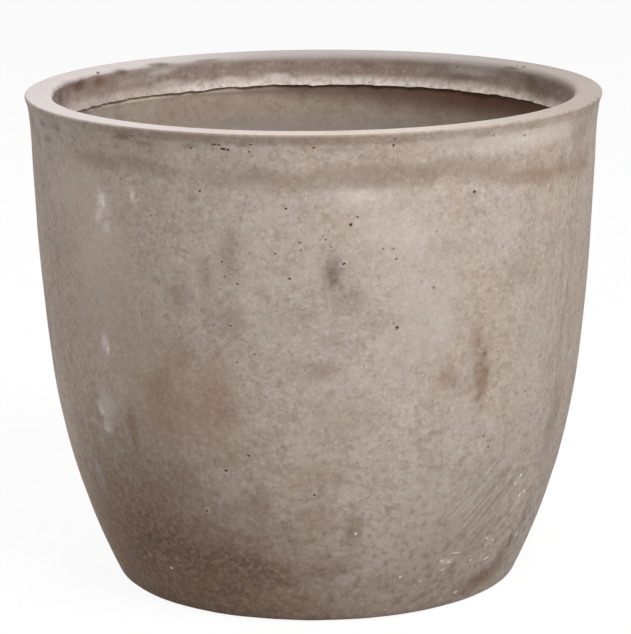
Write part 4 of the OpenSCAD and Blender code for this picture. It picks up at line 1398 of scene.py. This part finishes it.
class PLANTER_OT_studio(bpy.types.Operator):
    """Sets up the pale floor, the soft lamps and the camera"""
    bl_idname = "planter.studio"
    bl_label = "Studio"

    def execute(self, context):
        scene, setup = context.scene, context.scene.studio_setup
        floor_mesh = bpy.data.meshes.new("studio_floor")
        floor_mesh.from_pydata([(x*FLOOR_HALF, y*FLOOR_HALF, FLOOR_HEIGHT) for x, y in
                                ((-1, -1), (1, -1), (1, 1), (-1, 1))], [], [(0, 1, 2, 3)])
        floor = new_object("studio_floor", floor_mesh)
        floor_mesh.materials.append(self.floor_paint(setup))
        self.light_world(scene)
        for name, azimuth, elevation, power, colour in LAMPS:
            lamp = bpy.data.lights.new(name, "AREA")
            lamp.shape = "DISK"
            lamp.size = LAMP_SIZE
            lamp.energy = power
            lamp.color = linear(colour)[:3]
            holder = new_object(name, lamp)
            turn, rise = math.radians(azimuth), math.radians(elevation)
            holder.location = AIM + LAMP_DISTANCE*Vector((math.sin(turn)*math.cos(rise),
                                                          -math.cos(turn)*math.cos(rise),
                                                          math.sin(rise)))
            holder.rotation_euler = (holder.location - AIM).to_track_quat("Z", "Y").to_euler()
        eye = bpy.data.cameras.new("photo_camera")
        eye.lens = setup.lens
        eye.sensor_width = 36.0
        eye.clip_end = 50.0
        camera = new_object("photo_camera", eye)
        camera.matrix_world = (
            Matrix.Translation((setup.aside, -setup.distance, setup.eye_height))
            @ Matrix.Rotation(math.pi/2 - setup.pitch, 4, "X")
            @ Matrix.Rotation(-setup.roll, 4, "Z"))
        scene.camera = camera
        scene.view_settings.view_transform = "Standard"
        return {"FINISHED"}

    def floor_paint(self, setup):
        """Matt paper. It gives the eye a plain white sweep that keeps a soft shadow."""
        material = clear_material("matt_paper_floor")
        tree = material.node_tree
        seen = in_view(tree)
        paper = add(tree, "ShaderNodeBsdfDiffuse", {"Color": list(setup.floor) + [1]})
        white = add(tree, "ShaderNodeBsdfDiffuse", {"Color": linear("FFFFFF")})
        glow = add(tree, "ShaderNodeEmission", {"Color": linear("FFFFFF"), "Strength": 1.0})
        shown = add(tree, "ShaderNodeMixShader", {0: 0.92, 1: white.outputs[0],
                    2: glow.outputs[0]})
        mix = add(tree, "ShaderNodeMixShader", {0: seen, 1: paper.outputs[0],
                  2: shown.outputs[0]})
        add(tree, "ShaderNodeOutputMaterial", {0: mix.outputs[0]})
        return material

    def light_world(self, scene):
        """Even light from all round, and plain white where the camera sees it."""
        world = bpy.data.worlds.new("studio_air")
        world.use_nodes = True
        tree = world.node_tree
        tree.nodes.clear()
        seen = in_view(tree)
        air = add(tree, "ShaderNodeBackground", {"Color": linear("F4F2F0"), "Strength": 0.40})
        white = add(tree, "ShaderNodeBackground", {"Color": linear("FFFFFF"), "Strength": 1.0})
        mix = add(tree, "ShaderNodeMixShader", {0: seen, 1: air.outputs[0],
                  2: white.outputs[0]})
        add(tree, "ShaderNodeOutputWorld", {0: mix.outputs[0]})
        scene.world = world


class PLANTER_PT_sidebar(bpy.types.Panel):
    """Lists the planter's pieces and their settings"""
    bl_label = "Planter"
    bl_space_type = "VIEW_3D"
    bl_region_type = "UI"
    bl_category = "Planter"

    def draw(self, context):
        layout = self.layout
        for operator in STEPS:
            layout.operator(operator.bl_idname)
        for group, _ in GROUPS:
            box = layout.box()
            settings = getattr(context.scene, group)
            for name in settings.bl_rna.properties.keys():
                if name not in ("name", "rna_type"):
                    box.prop(settings, name)


GROUPS = (("pot_sizes", PotSizes), ("concrete_look", ConcreteLook),
          ("stopper_look", StopperLook), ("studio_setup", StudioSetup))
STEPS = (PLANTER_OT_cast_pot, PLANTER_OT_drain_sleeve, PLANTER_OT_stopper, PLANTER_OT_studio)


def register():
    for name, group in GROUPS:
        bpy.utils.register_class(group)
        setattr(bpy.types.Scene, name, bpy.props.PointerProperty(type=group))
    for cls in STEPS + (PLANTER_PT_sidebar,):
        bpy.utils.register_class(cls)


def unregister():
    for cls in reversed(STEPS + (PLANTER_PT_sidebar,)):
        bpy.utils.unregister_class(cls)
    for name, group in reversed(GROUPS):
        delattr(bpy.types.Scene, name)
        bpy.utils.unregister_class(group)


def main():
    """Makes the pieces in order."""
    register()
    bpy.ops.planter.cast_pot()
    bpy.ops.planter.drain_sleeve()
    bpy.ops.planter.stopper()
    bpy.ops.planter.studio()


if __name__ == "__main__":
    main()
